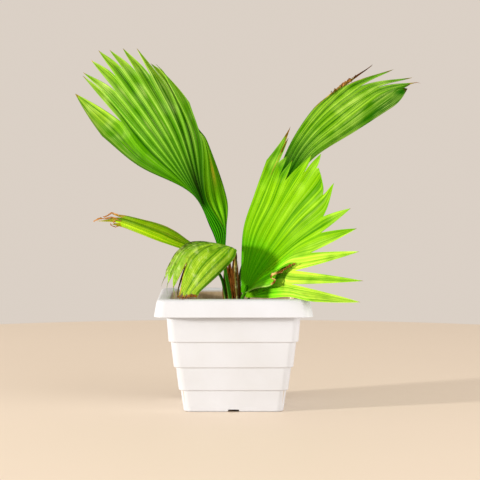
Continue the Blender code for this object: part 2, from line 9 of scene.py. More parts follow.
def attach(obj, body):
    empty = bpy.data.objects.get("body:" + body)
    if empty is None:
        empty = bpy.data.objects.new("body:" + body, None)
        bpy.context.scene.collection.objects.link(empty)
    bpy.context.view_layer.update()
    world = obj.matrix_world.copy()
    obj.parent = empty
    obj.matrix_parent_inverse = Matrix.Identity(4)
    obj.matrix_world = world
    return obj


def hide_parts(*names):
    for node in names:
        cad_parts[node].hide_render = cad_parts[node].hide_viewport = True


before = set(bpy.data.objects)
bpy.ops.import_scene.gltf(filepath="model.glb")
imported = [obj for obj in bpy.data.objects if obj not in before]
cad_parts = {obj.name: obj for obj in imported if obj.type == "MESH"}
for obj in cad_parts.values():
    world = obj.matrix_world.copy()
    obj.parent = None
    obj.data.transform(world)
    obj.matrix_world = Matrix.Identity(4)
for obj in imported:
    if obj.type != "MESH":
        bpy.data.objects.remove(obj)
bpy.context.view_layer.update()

MM = 0.001

# Camera of the photograph: place, tilt and turn in degrees, focal length and width in pixels
CAMERA = (0.0, -1.81, 0.2545)
TILT, TURN = 3.29, 0.186
FOCAL_PIXELS, WIDTH_PIXELS = 2001, 480
SENSOR = 36.0

# Rows of points along the joined part of a blade and along a free segment, and the columns
# from a joint to the next midrib
ROWS = (8, 10, 10, 10)
FREE_ROWS = 14
ACROSS = (0.0, 0.16, 0.5, 0.84)
BLADE_THICK = 0.5

# Depth of a pleat over its width, and the width at which pleats stop getting deeper
PLEAT = 0.34
WIDE_PLEAT = 9
EDGE_BULGE = 0.12

# A blade's slow waves: how close together they are, and how high
WAVES, WAVE_HEIGHT = 0.06, 0.35

# The vector noise that crumples the dry ends takes this seed, so that every run is the same
CRUMPLE_SEED = 7

STEM_FOOT = 52.0
STEM_STEPS, STEM_SIDES = 8, 14
LEAF_CREASE_ANGLE = 24

# Every frond is laid out by lines that cross its pleats, from the stalk to the notches.
# A line's point is how far across the fan it lies, from 0 to 1, then x, y and z in
# millimetres. Tips and notches follow from one margin to the other, and the first and the
# last notch are where the margins turn in to the outer tips. A stalk's point has its radius
# last. Swell is how far the two edges of a free segment bulge. Threads start with radius and
# colour, crumbs with count, size and dryness, ribbons with width and seed.
TALL = {
    "lines": (
        ((0.0, -13.5, 2, 142), (1.0, -7.5, 4, 142)),
        ((0.0, -20.5, -0.5, 160.5), (0.45, -14.5, -1.5, 160.5), (1.0, -6.5, 3, 160.5)),
        (
            (0.0, -37.5, -1, 192.5), (0.35, -33, -6.5, 191.5), (0.7, -27, -3.5, 190.5),
            (0.8, -25, -1.2, 190.5), (1.0, -6, 2, 187.5),
        ),
        (
            (0.0, -85, -2, 217.5), (0.08, -81, -6, 230), (0.15, -77, -9, 238),
            (0.35, -65.5, -12.5, 248.5), (0.55, -49, -11.5, 251), (0.7, -36.5, -6.5, 247.5),
            (0.77, -29.5, -3, 238.5), (0.82, -27.5, 6, 239), (1.0, -23.5, 9, 239),
        ),
    ),
    "tips": (
        (-144, 14, 283), (-136.5, 8, 299), (-136, 5, 302), (-128.5, 1, 313), (-121.5, -3, 321.5),
        (-111.5, -5, 322), (-99.5, -5, 323.5), (-87, -3, 323.5), (-74.5, -2, 310), (-70, 1, 309.5),
        (-50, 12, 278), (-46, 14, 272), (-39, 14, 264),
    ),
    "notches": (
        (-118.5, 7, 244.5), (-100, -3, 257), (-113, -3, 280.5), (-105.5, -6, 284.5), (-105, -7, 297.5),
        (-98.5, -8.5, 303.5), (-87.5, -9, 302), (-74, -7, 297.5), (-55.5, -5, 282.5),
        (-61.5, -2, 298.5), (-41, 0, 274.5), (-42, 11, 258), (-36, 12, 252), (-31, 11.5, 250),
    ),
    "stalk": (
        (-15, 1.5, 154, 1.0), (-10.5, 3, 144, 1.5), (-9.5, 1, 136, 1.6), (-7.5, -3, 123.5, 1.6),
        (-3, -6, 97.5, 1.7), (-2.5, -6.5, 86, 1.8),
    ),
}
FRONT = {
    "lines": (
        ((0.0, 7, -7, 104), (1.0, 11.5, -9, 99)),
        (
            (0.0, 7, -5.5, 131), (0.15, 10.5, -7, 131), (0.3, 14.5, -8.5, 129.5),
            (0.46, 20, -10.5, 127), (0.6, 23.5, -12.5, 121.5), (0.72, 23.5, -14, 117),
            (0.85, 21, -15, 111.5), (1.0, 20, -17, 99.5),
        ),
        (
            (0.0, 9.2, -6, 162), (0.15, 16.3, -9, 160), (0.3, 23.5, -12, 157), (0.46, 34, -16, 153),
            (0.6, 41, -20, 141.5), (0.72, 40.5, -22.5, 131), (0.85, 33, -24, 119.5),
            (0.93, 31.5, -28, 112), (1.0, 33, -33, 100.5),
        ),
        (
            (0.0, 18.5, -7, 191), (0.15, 27.5, -11, 187), (0.3, 37, -15, 183), (0.46, 51, -21, 181),
            (0.6, 58, -27, 158), (0.72, 56, -31, 143.5), (0.85, 45, -36, 126), (0.93, 43, -43, 114),
            (1.0, 50, -54, 103.2),
        ),
    ),
    "tips": (
        (51, -8, 252.5), (49, -10, 242), (48, -13, 226.5), (52.5, -15, 222.5), (69.5, -20, 227.5),
        (78, -26, 229), (76, -30, 215.5), (89, -36, 203), (103.5, -44, 181), (108.5, -50, 163.5),
        (110.5, -57, 143.5), (113.5, -67, 118.5), (110, -80, 101),
    ),
    "notches": (
        (30, -7, 223), (31.5, -10, 204), (39.5, -12, 219), (41, -14, 208), (46.5, -17, 204.5),
        (61.5, -23, 209.5), (74, -27, 216), (79.5, -32, 192), (79.5, -37, 173), (77.5, -42, 159),
        (68.5, -46, 141.5), (54, -50, 126), (50.5, -57, 115), (68.5, -78, 101.6),
    ),
    "stalk": (
        (12.5, -10, 110, 1.2), (9.5, -8, 102, 1.6), (8, -7, 97.5, 1.7), (7.5, -6.5, 86, 1.8),
    ),
    "pleat": 0.23,
    "swell": {0: (-0.15, 0.3), 1: (0.3, 0.9), 4: (0.12, 0.25), 5: (0.25, 0.12)},
    "threads": (
        (1.0, (116, 84, 24), (43, -10.3, 230), (46.4, -10.4, 237.5), (49.3, -10.4, 242.8)),
        (0.8, (120, 76, 26), (47, -8, 244), (49.4, -8.3, 248.5), (51.1, -8.3, 252.8)),
    ),
}

# A withered flap hangs from one pleat of the front frond: the pleat's number, then the
# place along it and the point of the flap's free edge for each line down the flap
FLAP_PLEAT = 21
FLAP = (
    (1, 10.5, -10.8, 103.2), (2, 15, -17, 105.7), (3, 18.8, -23.5, 107.9), (4, 25, -33.5, 110.1),
    (5, 31, -43, 111.9), (6, 34.5, -47, 114.5), (7, 36, -48, 122.5), (8, 41.5, -49, 128.2),
    (9, 54, -46, 132.4),
)
FLAP_BULGE = 1.4
FLAP_STEPS, FLAP_COLUMNS = 4, 8

# The flap's dry end: the turns of its curl, and the crumbly edge beyond them
CURL = (
    (43, -48.3, 124.6), (39, -49.1, 124.4), (35.5, -49.5, 123.4), (33.4, -49.3, 121.2),
    (33.6, -49.3, 118.8), (36.6, -49.9, 118.4), (35.6, -49.7, 116), (33, -48.3, 114.4),
)
CRUMBLY_EDGE = (
    (38, -48.3, 123.4), (42, -48.3, 125.9), (46, -48.8, 128.4), (50, -49.3, 130.9),
    (55, -49.3, 132.9),
)
UPPER = {
    "lines": (
        ((0.0, 26, 14, 179), (1.0, 31.5, 16, 175)),
        ((0.0, 38, 14, 206), (1.0, 50.5, 10, 195.5)),
        ((0.0, 53.5, 15, 241), (0.5, 64, 13, 234.5), (1.0, 73, 8, 224.5)),
        ((0.0, 72.5, 19, 269), (0.35, 84.5, 20, 264), (0.7, 98, 17.5, 256), (1.0, 111.5, 11, 249)),
    ),
    "tips": (
        (126.5, 24, 308.5), (147, 30, 305.5), (164.5, 30, 298), (168, 26, 293.5), (162, 20, 292),
        (158.5, 17, 287.5),
    ),
    "notches": (
        (88, 22, 282.5), (102, 24, 290), (116.5, 26, 290), (131, 26.5, 288), (129.5, 23, 282),
        (144.5, 18, 282.5), (145.5, 14, 271),
    ),
    "stalk": (
        (33.5, 15, 186, 0.9), (27, 15, 174, 1.2), (19.5, 14, 154, 1.2), (8.2, 9, 126.5, 1.3),
        (5.4, 8, 112, 1.4), (6.5, 7.5, 97, 1.5), (6.8, 7, 86, 1.6),
    ),
    "swell": {4: (0.12, 0.35), 5: (0.7, 0.2)},
    "threads": (
        (0.35, None, (165.5, 26, 293), (168, 26, 293.2), (171.5, 26, 292.6)),
        (1.1, (84, 38, 14), (110, 22.6, 297.5), (116, 23, 301.5), (122, 23.5, 305.5), (127, 24, 309.5)),
    ),
    "crumbs": (
        (60, 1.5, 0.1, (88, 21, 282.5), (94, 22, 287), (99, 22.5, 290.5), (105, 23, 294), (112, 23.5, 299)),
        (30, 2.3, 1.0, (99, 22.5, 291), (103, 23, 293.5), (108, 23, 296.5)),
    ),
}
DROOPING = {
    "lines": (
        ((0.0, -2, -5.5, 144.2), (1.0, 2.2, -7.8, 141.2)),
        ((0.0, -19, -17.5, 149), (0.43, -11, -17, 147.3), (0.7, -4, -14, 145.1), (1.0, 3, -9.3, 141.5)),
        (
            (0.0, -37.7, -42, 151.4), (0.2, -32.7, -42, 149.9), (0.43, -26.8, -42.5, 146.9),
            (0.57, -19.4, -38, 143.8), (0.71, -12, -30, 140.5), (0.86, -4.5, -19, 136.6),
            (1.0, 0.5, -11, 133.4),
        ),
        (
            (0.0, -50.2, -54, 143.3), (0.25, -44.2, -55, 142.8), (0.43, -37.7, -55, 139.8),
            (0.57, -31.8, -52, 133.2), (0.71, -26.4, -44, 127), (0.86, -19.5, -30.5, 123),
            (1.0, -11, -13.5, 120.9),
        ),
    ),
    "tips": (
        (-59.8, -61, 119.9), (-57.3, -62.5, 115.9), (-52.9, -64, 111.8), (-47.9, -65, 104.3),
        (-43.4, -64, 103.7), (-38.4, -58.5, 103), (-33.2, -47, 101.6),
    ),
    "notches": (
        (-58.3, -60, 129.4), (-56.8, -61.5, 125.9), (-52.4, -62.5, 125.3), (-40.8, -58, 134.5),
        (-43.4, -63.5, 109.4), (-40, -60, 108.2), (-36, -52.5, 107.6), (-28.6, -34, 106.2),
    ),
    "stalk": (
        (-5, -8.5, 144.8, 0.8), (0, -6.8, 142.3, 1.2), (2, -6.5, 137, 1.2), (2, -6.5, 132, 1.2),
        (1.5, -5, 123.5, 1.2), (3, -4.5, 100, 1.3), (3, -4.5, 86, 1.3),
    ),
    "threads": (
        (0.3, (120, 150, 40), (-57, -55, 119), (-58.5, -57, 112), (-58, -58, 106)),
        (0.3, (110, 120, 40), (-60, -55, 122), (-62.5, -56, 116), (-63.5, -57, 113)),
        (0.35, (130, 170, 60), (-53, -59, 113), (-52, -60, 106), (-53, -60.5, 100)),
        (1.2, (58, 20, 0), (-42, -53, 130), (-46, -58, 119), (-49, -60.5, 108), (-48.5, -62, 102.6)),
        (0.4, (214, 130, 50), (-44, -60.5, 106), (-44.8, -61, 102.8), (-44, -61.5, 101.6)),
        (0.4, (206, 110, 40), (-38, -59, 106), (-41, -61, 103.5), (-41.5, -62, 101.8)),
        (0.6, (190, 90, 30), (-33, -49, 103.5), (-36.5, -55, 104), (-41, -61, 103.5)),
    ),
    "crumbs": (
        (
            46, 1.1, 1.0, (-49, -64.5, 104.5), (-45, -64.5, 103.4), (-41, -61.5, 104), (-37, -55.5, 104.6),
            (-33.5, -49, 104),
        ),
    ),
}
LOW = {
    "lines": (
        ((0.0, -27, 10, 141), (1.0, -29.5, 8, 136.5)),
        ((0.0, -39, 12, 148), (0.5, -42.5, 7, 144.5), (1.0, -48, 9, 142)),
        ((0.0, -53, 13, 158), (0.5, -57, 5, 150), (1.0, -60, 9, 146)),
        ((0.0, -67, 14, 164.5), (0.5, -69.5, 5, 155.5), (1.0, -71.5, 9, 150)),
    ),
    "tips": ((-110.5, 10, 173.5), (-118, 8, 169), (-124, 5, 167.5), (-110.5, 6, 164.5)),
    "notches": ((-94.5, 13, 171.5), (-100.5, 11, 170), (-105, 7, 168), (-102, 6, 165), (-98, 8, 160.5)),
    "stalk": (
        (-35, 9, 143, 0.9), (-28, 8.5, 138, 1.2), (-22, 7, 130, 1.3), (-11.3, 4, 116.5, 1.4),
        (-7.5, 1, 99.5, 1.5), (-7, 0.5, 86, 1.6),
    ),
    "ribbons": (
        (0.9, 3, (-104, 10, 172), (-110, 9.5, 174.4), (-113, 9, 173.6), (-116.5, 8, 171), (-119, 8, 171.4)),
        (
            0.8, 5, (-104, 8, 169), (-111, 7.5, 170.8), (-117, 7, 169.5), (-121, 6, 169.8), (-125.5, 5, 168),
            (-126.5, 5, 166.6),
        ),
        (0.8, 8, (-101, 7, 166), (-106, 6, 168.8), (-109, 6, 166.6), (-106.5, 6, 164.4), (-102, 6.5, 165)),
        (0.6, 9, (-103, 8, 163), (-107, 7, 162), (-110.5, 6, 163.4), (-112, 6, 165.4)),
    ),
}
DRY_THREAD = (96, 60, 30)
OLD_STALK = ((19, 4, 108, 0.7), (16.5, 3, 103, 1.0), (14, 2.5, 98, 1.1), (12.5, 2, 86, 1.2))

# Old leaf bases in the crown: foot x and y, top x, y and z, width and thickness
SHEATHS = (
    (-1.5, 3.2, -4.5, 3.8, 124, 4.5, 1.5),
    (0.5, 2.6, 0.5, 2.2, 136, 6.0, 1.8),
    (2.2, 1.8, 1.8, 0.8, 139.5, 5.0, 1.6),
    (3.0, 3.1, 4.6, 3.2, 116, 4.4, 1.4),
    (1.0, 4.6, 1.5, 6.5, 128, 5.0, 1.4),
    (-2.6, 3.8, -3.6, 4.2, 134, 5.4, 1.2),
    (-4.4, 3.6, -6.2, 4.6, 129, 4.2, 1.0),
    (-5.8, 3.4, -8.6, 5.0, 122, 3.6, 1.0),
    (-6.6, 2.6, -9.8, 5.4, 113, 3.0, 0.8),
)
SHEATH_BOTTOM = 82
SHEATH_THICK = 0.6
SHEATH_ROWS, SHEATH_COLUMNS = 18, 8
SHEATH_WIDEST = 0.35
CROWN = Vector((0.4, 3.1, 0))
CROWN_CORE = (4.4, 3.0)
CROWN_LEVELS = (54, 72, 84, 92, 98, 101)
FIBRES = 60
BROWNS = ((50, 22, 0), (92, 48, 2), (140, 84, 16), (214, 164, 84))


def srgb(r, g, b):
    """A colour given as it looks on screen, 0 to 255, made linear."""
    return tuple(
        c / 12.92 if c <= 0.04045 else ((c + 0.055) / 1.055) ** 2.4
        for c in (r / 255, g / 255, b / 255)
    )


def blend(first, second, share):
    share = min(1.0, max(0.0, share))
    return tuple(a + (b - a) * share for a, b in zip(first, second))


def dyed(colour, *layers):
    """Blends in colours, each given as it looks on screen, by their shares."""
    for screen, share in layers:
        colour = blend(colour, srgb(*screen), share)
    return colour


def ease(low, high, value):
    """0 below low, 1 above high and smooth between."""
    t = min(1.0, max(0.0, (value - low) / (high - low)))
    return t * t * (3 - 2 * t)


def bell(value, centre, width):
    return math.exp(-(((value - centre) / width) ** 2))


def new_object(name, data):
    obj = bpy.data.objects.new(name, data)
    bpy.context.scene.collection.objects.link(obj)
    return obj


class Shape:
    """Points in millimetres and faces, with a colour, a place and a dryness for each point."""

    def __init__(self):
        self.points = []
        self.places = []
        self.tints = []
        self.dry = []
        self.thin = []
        self.faces = []

    def add(self, point, place=(0.0, 0.0), tint=(0.5, 0.5, 0.5), dry=0.0, thin=1.0):
        self.points.append(Vector(point))
        self.places.append(place)
        self.tints.append(tint)
        self.dry.append(dry)
        self.thin.append(thin)
        return len(self.points) - 1

    def quad(self, a, b, c, d, leaning=0):
        if leaning:
            self.faces += [(a, b, c), (a, c, d)]
        else:
            self.faces += [(a, b, d), (b, c, d)]

    def weave(self, grid):
        """Fills the sheet between rows of points."""
        for low, high in zip(grid, grid[1:]):
            for i in range(len(low) - 1):
                self.quad(low[i], low[i + 1], high[i + 1], high[i])

    def close(self, rings):
        """Closes a stack of rings of points into a body."""
        for low, high in zip(rings, rings[1:]):
            for i in range(len(low)):
                k = (i + 1) % len(low)
                self.faces.append((low[i], low[k], high[k], high[i]))
        self.faces.append(tuple(reversed(rings[0])))
        self.faces.append(tuple(rings[-1]))

    def make(self, name, material):
        mesh = bpy.data.meshes.new(name)
        mesh.from_pydata([p * MM for p in self.points], [], self.faces)
        tint = mesh.attributes.new("tint", "FLOAT_COLOR", "POINT")
        tint.data.foreach_set("color", [c for t in self.tints for c in (*t, 1.0)])
        dry = mesh.attributes.new("dry", "FLOAT", "POINT")
        dry.data.foreach_set("value", self.dry)
        layer = mesh.uv_layers.new(name="leaf")
        for loop in mesh.loops:
            layer.data[loop.index].uv = self.places[loop.vertex_index]
        mesh.materials.append(material)
        return new_object(name, mesh)


def bmesh_object(bm, name):
    mesh = bpy.data.meshes.new(name)
    bm.to_mesh(mesh)
    bm.free()
    return new_object(name, mesh)


def vectors(points):
    return [Vector(point) for point in points]


def apply_modifiers(obj):
    bpy.context.view_layer.update()
    graph = bpy.context.evaluated_depsgraph_get()
    mesh = bpy.data.meshes.new_from_object(obj.evaluated_get(graph))
    obj.modifiers.clear()
    obj.data = mesh


def thicken(obj, shape, thickness):
    group = obj.vertex_groups.new(name="thin")
    for i, weight in enumerate(shape.thin):
        group.add([i], weight, "REPLACE")
    solid = obj.modifiers.new("Thickness", "SOLIDIFY")
    solid.thickness = thickness * MM
    solid.offset = 0.0
    solid.use_quality_normals = True
    solid.vertex_group = "thin"
    apply_modifiers(obj)
    obj.vertex_groups.clear()


def join(parts):
    """Makes one object of several, the first one's name kept."""
    with bpy.context.temp_override(
        active_object=parts[0], selected_editable_objects=parts, selected_objects=parts
    ):
        bpy.ops.object.join()
    return parts[0]


def smooth(obj, degrees):
    obj.data.shade_smooth()
    obj.data.set_sharp_from_angle(angle=math.radians(degrees))


def hermite(knots, at):
    """A smooth line through knots, each its place from 0 to 1 and then a point."""
    places = [knot[0] for knot in knots]
    points = [Vector(knot[1:]) for knot in knots]
    if len(knots) == 2:
        return points[0].lerp(points[1], at)
    slopes = []
    for i in range(len(knots)):
        low = max(i - 1, 0)
        high = min(i + 1, len(knots) - 1)
        slopes.append((points[high] - points[low]) / (places[high] - places[low]))
    i = 0
    while i < len(knots) - 2 and at > places[i + 1]:
        i += 1
    span = places[i + 1] - places[i]
    t = (at - places[i]) / span
    return (
        points[i] * (2 * t**3 - 3 * t**2 + 1)
        + slopes[i] * span * (t**3 - 2 * t**2 + t)
        + points[i + 1] * (3 * t**2 - 2 * t**3)
        + slopes[i + 1] * span * (t**3 - t**2)
    )


def along(points, steps):
    """A smooth line through the points, with the given steps in each span."""
    places = [0.0]
    for first, second in zip(points, points[1:]):
        places.append(places[-1] + math.sqrt((second - first).length))
    knots = [(place, *point) for place, point in zip(places, points)]
    line = [points[0].copy()]
    for i, count in enumerate(steps):
        for step in range(1, count + 1):
            at = places[i] + (places[i + 1] - places[i]) * step / count
            line.append(hermite(knots, at))
    return line


def fan_rays(layout):
    """The margins, midribs and joints of the fan, and the free part of each midrib."""
    count = len(layout["tips"])
    notches = vectors(layout["notches"])
    tips = vectors(layout["tips"])
    rays = []
    free = []
    for k in range(2 * count + 1):
        points = [hermite(line, k / (2 * count)) for line in layout["lines"]]
        if k % 2 == 0:
            rays.append(along(points + [notches[k // 2]], ROWS))
            continue
        segment = k // 2
        root = (notches[segment] + notches[segment + 1]) / 2
        line = along(points + [root, tips[segment]], (*ROWS, FREE_ROWS))
        rays.append(line[: sum(ROWS) + 1])
        free.append(line[sum(ROWS) :])
    return rays, free


def pleated(rays, depth):
    """The same rays, with joints raised and midribs sunk to either side of the fan."""
    last = len(rays) - 1
    grow = ROWS[0] * 1.5
    folded = []
    for k, ray in enumerate(rays):
        line = []
        for j, point in enumerate(ray):
            across = rays[min(k + 1, last)][j] - rays[max(k - 1, 0)][j]
            up = ray[min(j + 1, len(ray) - 1)] - ray[max(j - 1, 0)]
            normal = across.cross(up).normalized()
            pitch = across.length / (2 if 0 < k < last else 1)
            rise = depth * pitch / math.hypot(1, pitch / WIDE_PLEAT) * min(1.0, j / grow)
            line.append(point + normal * (rise if k % 2 == 0 else -rise) / 2)
        folded.append(line)
    return folded


def free_edge(notch, middle, swell):
    """The edge of a segment from its notch to its tip, bent as its midrib is."""
    root = middle[0]
    tip = middle[-1]
    way = (tip - root).normalized()
    out = (notch - root) - way * (notch - root).dot(way)
    edge = []
    for step in range(FREE_ROWS + 1):
        share = step / FREE_ROWS
        bend = middle[step] - root.lerp(tip, share)
        bulge = out * swell * 4 * share * (1 - share)
        edge.append(notch.lerp(tip, share) + bend + bulge)
    return edge


def blade(layout, look):
    """The sheet of a fan: points between each joint and midrib, then each free segment."""
    rays, free = fan_rays(layout)
    folded = pleated(rays, layout.get("pleat", PLEAT))
    shape = Shape()
    count = len(layout["tips"])
    total = sum(ROWS)

    def point(place, u, v):
        tint, dry = look(u / (2 * count), v, u, place)
        wave = noise.noise(place * WAVES + Vector((u * 0.03, 0, 0))) * WAVE_HEIGHT * ease(0, 0.3, v)
        thin = 1.0 - 0.55 * ease(1.2, 2.0, v)
        return shape.add(place + Vector((0, wave, 0)), (u, v), tint, dry, thin)

    grid = []
    for k in range(2 * count):
        for t in ACROSS:
            line = [a.lerp(b, t) for a, b in zip(folded[k], folded[k + 1])]
            grid.append([point(p, k + t, j / total) for j, p in enumerate(line)])
    grid.append([point(p, 2 * count, j / total) for j, p in enumerate(folded[-1])])
    for i, (left, right) in enumerate(zip(grid, grid[1:])):
        leaning = (i // len(ACROSS)) % 2
        for j in range(total):
            shape.quad(left[j], right[j], right[j + 1], left[j + 1], leaning)
    for segment, middle in enumerate(free):
        k = 2 * segment
        drop = folded[k + 1][-1] - middle[0]
        rib = [p + drop * (1 - i / FREE_ROWS) for i, p in enumerate(middle)]
        swell = layout.get("swell", {}).get(segment, (EDGE_BULGE, EDGE_BULGE))
        edges = [free_edge(folded[k + 2 * i][-1], middle, swell[i]) for i in (0, 1)]
        columns = []
        for side, (first, second) in enumerate(((edges[0], rib), (rib, edges[1]))):
            for t in ACROSS:
                columns.append((k + side + t, [a.lerp(b, t) for a, b in zip(first, second)]))
        columns.append((k + 2, edges[1]))
        start = len(ACROSS) * k
        made = []
        for i, (u, line) in enumerate(columns):
            column = [grid[start + i][-1]]
            for step in range(1, FREE_ROWS):
                column.append(point(line[step], u, 1 + step / FREE_ROWS))
            made.append(column)
        tip = point(middle[-1], k + 1, 2.0)
        for i, (left, right) in enumerate(zip(made, made[1:])):
            leaning = 0 if i >= len(ACROSS) else 1
            for j in range(FREE_ROWS - 1):
                shape.quad(left[j], right[j], right[j + 1], left[j + 1], leaning)
            shape.faces.append((left[-1], right[-1], tip))
    return shape


def tube(shape, line, radii, tint, sides, dry=0.0, squash=1.0):
    """A closed tube along a line of points, each with its radius."""
    rings = []
    side = None
    for i, centre in enumerate(line):
        way = (line[min(i + 1, len(line) - 1)] - line[max(i - 1, 0)]).normalized()
        if side is None:
            side = way.orthogonal().normalized()
        side = (side - way * side.dot(way)).normalized()
        up = way.cross(side)
        share = i / (len(line) - 1)
        colour = tint(share) if callable(tint) else tint
        ring = []
        for s in range(sides):
            angle = 2 * math.pi * s / sides
            offset = side * math.cos(angle) + up * math.sin(angle) * squash
            ring.append(shape.add(centre + offset * radii[i], (s / sides, share * 4), colour, dry))
        rings.append(ring)
    shape.close(rings)


def stalk(shape, knots, tint):
    """A round stalk through knots of x, y, z and radius, and straight down from the last."""
    x, y, _, radius = knots[-1]
    knots = (*knots, (x, y, STEM_FOOT, radius))
    line = along(vectors(knot[:3] for knot in knots), [STEM_STEPS] * (len(knots) - 1))
    radii = []
    for i in range(len(line)):
        span = min(i // STEM_STEPS, len(knots) - 2)
        share = i / STEM_STEPS - span
        radii.append(knots[span][3] * (1 - share) + knots[span + 1][3] * share)
    tube(shape, line, radii, tint, STEM_SIDES)


# Leaf colours. Across is 0 to 1 over the fan, v is 0 at the stalk, 1 at the notches and 2
# at the tips, and u counts from one joint (even) to the next midrib (odd). A look gives the
# colour and the dryness at a place on a blade.
def pleat_shade_and_highlight(u, base, shade_in_fold, highlight_on_joint, depth=0.85):
    """A blade's colour across one pleat: painted shade in the fold and a painted highlight on the joint."""
    off = abs(u % 2 - 1)
    colour = blend(base, shade_in_fold, depth * bell(off, 0.0, 0.2))
    return blend(colour, highlight_on_joint, 0.6 * depth * bell(off, 0.9, 0.16))


def speckle(place, size):
    return noise.noise(place / size)


def spots(place, size):
    return max(0, speckle(place, size))


# The painted shade in the crease at the waist of the tall frond, seen from the front
CREASE_START = Vector((-36, 0, 210))
CREASE_WAY = Vector((10, 0, -30)) / 31.6


def shade_in_tall_crease(place):
    reach = Vector((place.x, 0, place.z)) - CREASE_START
    far = reach.dot(CREASE_WAY)
    apart = (reach - CREASE_WAY * far).length
    return max(bell(apart, 0, 2.1), 0.65 * bell(apart, 0, 5)) * ease(-22, 10, far) * ease(35, 27, far)


def tall_look(across, v, u, place):
    base = dyed(
        srgb(98, 168, 2),
        ((160, 200, 54), ease(0.7, 1.5, v)),
        ((4, 66, 0), 0.97 * bell(v, 0.46, 0.2) * ease(-0.1, 0.4, across)),
        ((34, 126, 0), 0.85 * ease(0.55, 0.25, v)),
    )
    highlight_on_joint = dyed(srgb(176, 222, 90), ((64, 156, 6), bell(v, 0.44, 0.2)))
    uneven = (0.85 + 0.25 * math.sin(1.9 * (u // 2))) * (1 - 0.35 * ease(0.8, 1.3, v))
    colour = pleat_shade_and_highlight(u, base, srgb(6, 82, 0), blend(highlight_on_joint, base, 0.9 * bell(u, 2, 0.7)), uneven)
    off = abs(u % 2 - 1)
    # Painted shade along the sunk midribs in the middle of the fan.
    deep_fold_shade = bell(off, 0, 0.22) * ease(0.4, 0.6, across) * ease(0.36, 0.46, v) * ease(1.05, 0.75, v)
    # Low on the blade every other pleat gets a bright stripe over dark green: painted highlights on the lit
    # pleats.
    wide = 0.5 + 0.5 * math.cos(math.pi * (u + 0.6) / 2)
    waist_highlight_stripes = dyed(srgb(0, 62, 0), ((72, 190, 0), wide**1.8))
    colour = dyed(colour, ((30, 104, 0), 0.45 * bell(off, 0.5, 0.2) * ease(0.2, 0.5, v)))
    colour = dyed(colour, ((0, 52, 0), 0.85 * deep_fold_shade))
    colour = blend(colour, waist_highlight_stripes, 0.92 * ease(0.55, 0.25, v))
    if across > 0.78:
        # Bright on the joints and dark on the midribs: painted highlight and painted shade across the
        # pleats.
        lines = dyed(srgb(22, 104, 0), ((140, 214, 30), 0.5 + 0.5 * math.cos(math.pi * u)))
        colour = dyed(colour, ((98, 156, 0), 0.65 * ease(0.2, 0.45, v)))
        colour = blend(colour, lines, 0.8 * bell(v, 0.36, 0.1))
        colour = dyed(colour, ((192, 150, 40), 0.6 * bell(across, 0.92, 0.015) * bell(v, 0.6, 0.05)))
    colour = dyed(
        colour,
        # Pale spots: a painted sheen.
        ((206, 228, 140), 0.65 * spots(place, 11) * ease(0.6, 1.1, v)),
        ((60, 130, 0), 0.3 * spots(place * 1.7, 7) * ease(0.3, 0.8, v)),
        ((6, 50, 0), 0.75 * max(bell(across, 0, 0.012), bell(across, 1, 0.012))),
        # Painted shade in the crease.
        ((0, 30, 0), shade_in_tall_crease(place)),
    )
    return colour, ease(1.86, 1.97, v)


def front_look(across, v, u, place):
    # By the flap, where the flap's shadow falls, the base turns bright green: painted light standing for
    # light through the leaf.
    painted_glow_by_flap = ease(0.68, 0.78, across) * ease(0.75, 0.55, v) * ease(0.1, 0.3, v)
    base = dyed(
        srgb(108, 178, 0),
        ((130, 188, 8), ease(0.1, 0.8, v)),
        ((50, 124, 0), 0.85 * ease(0.85, 1.15, v) * ease(0.36, 0.22, across)),
        ((202, 242, 72), 0.95 * ease(0.7, 0.82, across) * ease(0.3, 0.7, v)),
        ((120, 255, 0), 0.6 * painted_glow_by_flap),
        # Low on the left, where the drooping frond's shadow falls, a deeper green: painted light through the
        # leaf.
        ((52, 160, 0), 0.7 * ease(0.5, 0.28, v) * ease(0.8, 0.6, across)),
    )
    uneven = (0.45 + 0.3 * math.sin(2.4 * (u // 2))) * (0.4 + 0.6 * ease(0.4, 0.8, v))
    specks = ease(0.3, 0.5, speckle(place, 1.1)) * ease(0.62, 0.75, across) * ease(0.75, 0.5, v)
    colour = dyed(
        pleat_shade_and_highlight(u, base, srgb(56, 140, 0), srgb(166, 222, 50), uneven),
        ((96, 140, 20), 0.6 * spots(place, 6) * ease(0.8, 0.95, across)),
        ((80, 156, 0), 0.7 * spots(place, 9) * ease(0.5, 1.1, v)),
        ((190, 236, 80), 0.5 * spots(place * -1, 12) * ease(0.5, 1.0, v)),
        ((92, 80, 8), 0.55 * specks),
    )
    if u >= 4:
        return colour, ease(1.93, 2.0, v)
    dry = 0.8 * (ease(1.7, 1.88, v) if u > 2 else ease(1.62, 1.85, v))
    return colour, max(dry, 0.7 * bell(u, 2, 0.35) * ease(1.04, 1.15, v))


def upper_look(across, v, u, place):
    base = dyed(
        srgb(80, 150, 0),
        ((136, 188, 30), bell(v, 0.8, 0.3)),
        ((2, 52, 0), ease(0.62, 0.24, v)),
        ((10, 90, 0), 0.95 * ease(0.68, 0.92, across) * ease(0.5, 1.1, v)),
    )
    highlight_on_joint = dyed(srgb(180, 222, 84), ((56, 146, 0), ease(0.62, 0.3, v)))
    fine = 0.5 + 0.5 * math.cos(math.pi * u * 3)
    colour = dyed(
        pleat_shade_and_highlight(u, base, srgb(24, 104, 0), highlight_on_joint),
        ((10, 88, 0), 0.75 * ease(0.72, 0.93, across) * ease(0.4, 1.0, v)),
        ((24, 100, 0), 0.6 * fine**2),
        # Pale spots: a painted sheen.
        ((190, 226, 100), 0.5 * spots(place, 12) * ease(0.4, 0.8, v)),
    )
    dry = ease(1.7, 1.92, v)
    if u > 8:
        return dyed(colour, ((56, 34, 0), dry)), dry * 0.25
    if u < 0.5:
        dry = max(dry, ease(0.6, 0.9, v) * ease(0.55, 0.1, u))
    if u < 2.01:
        dry = max(dry, ease(0.98, 1.12, v + 0.1 * speckle(place, 3)))
    return colour, dry


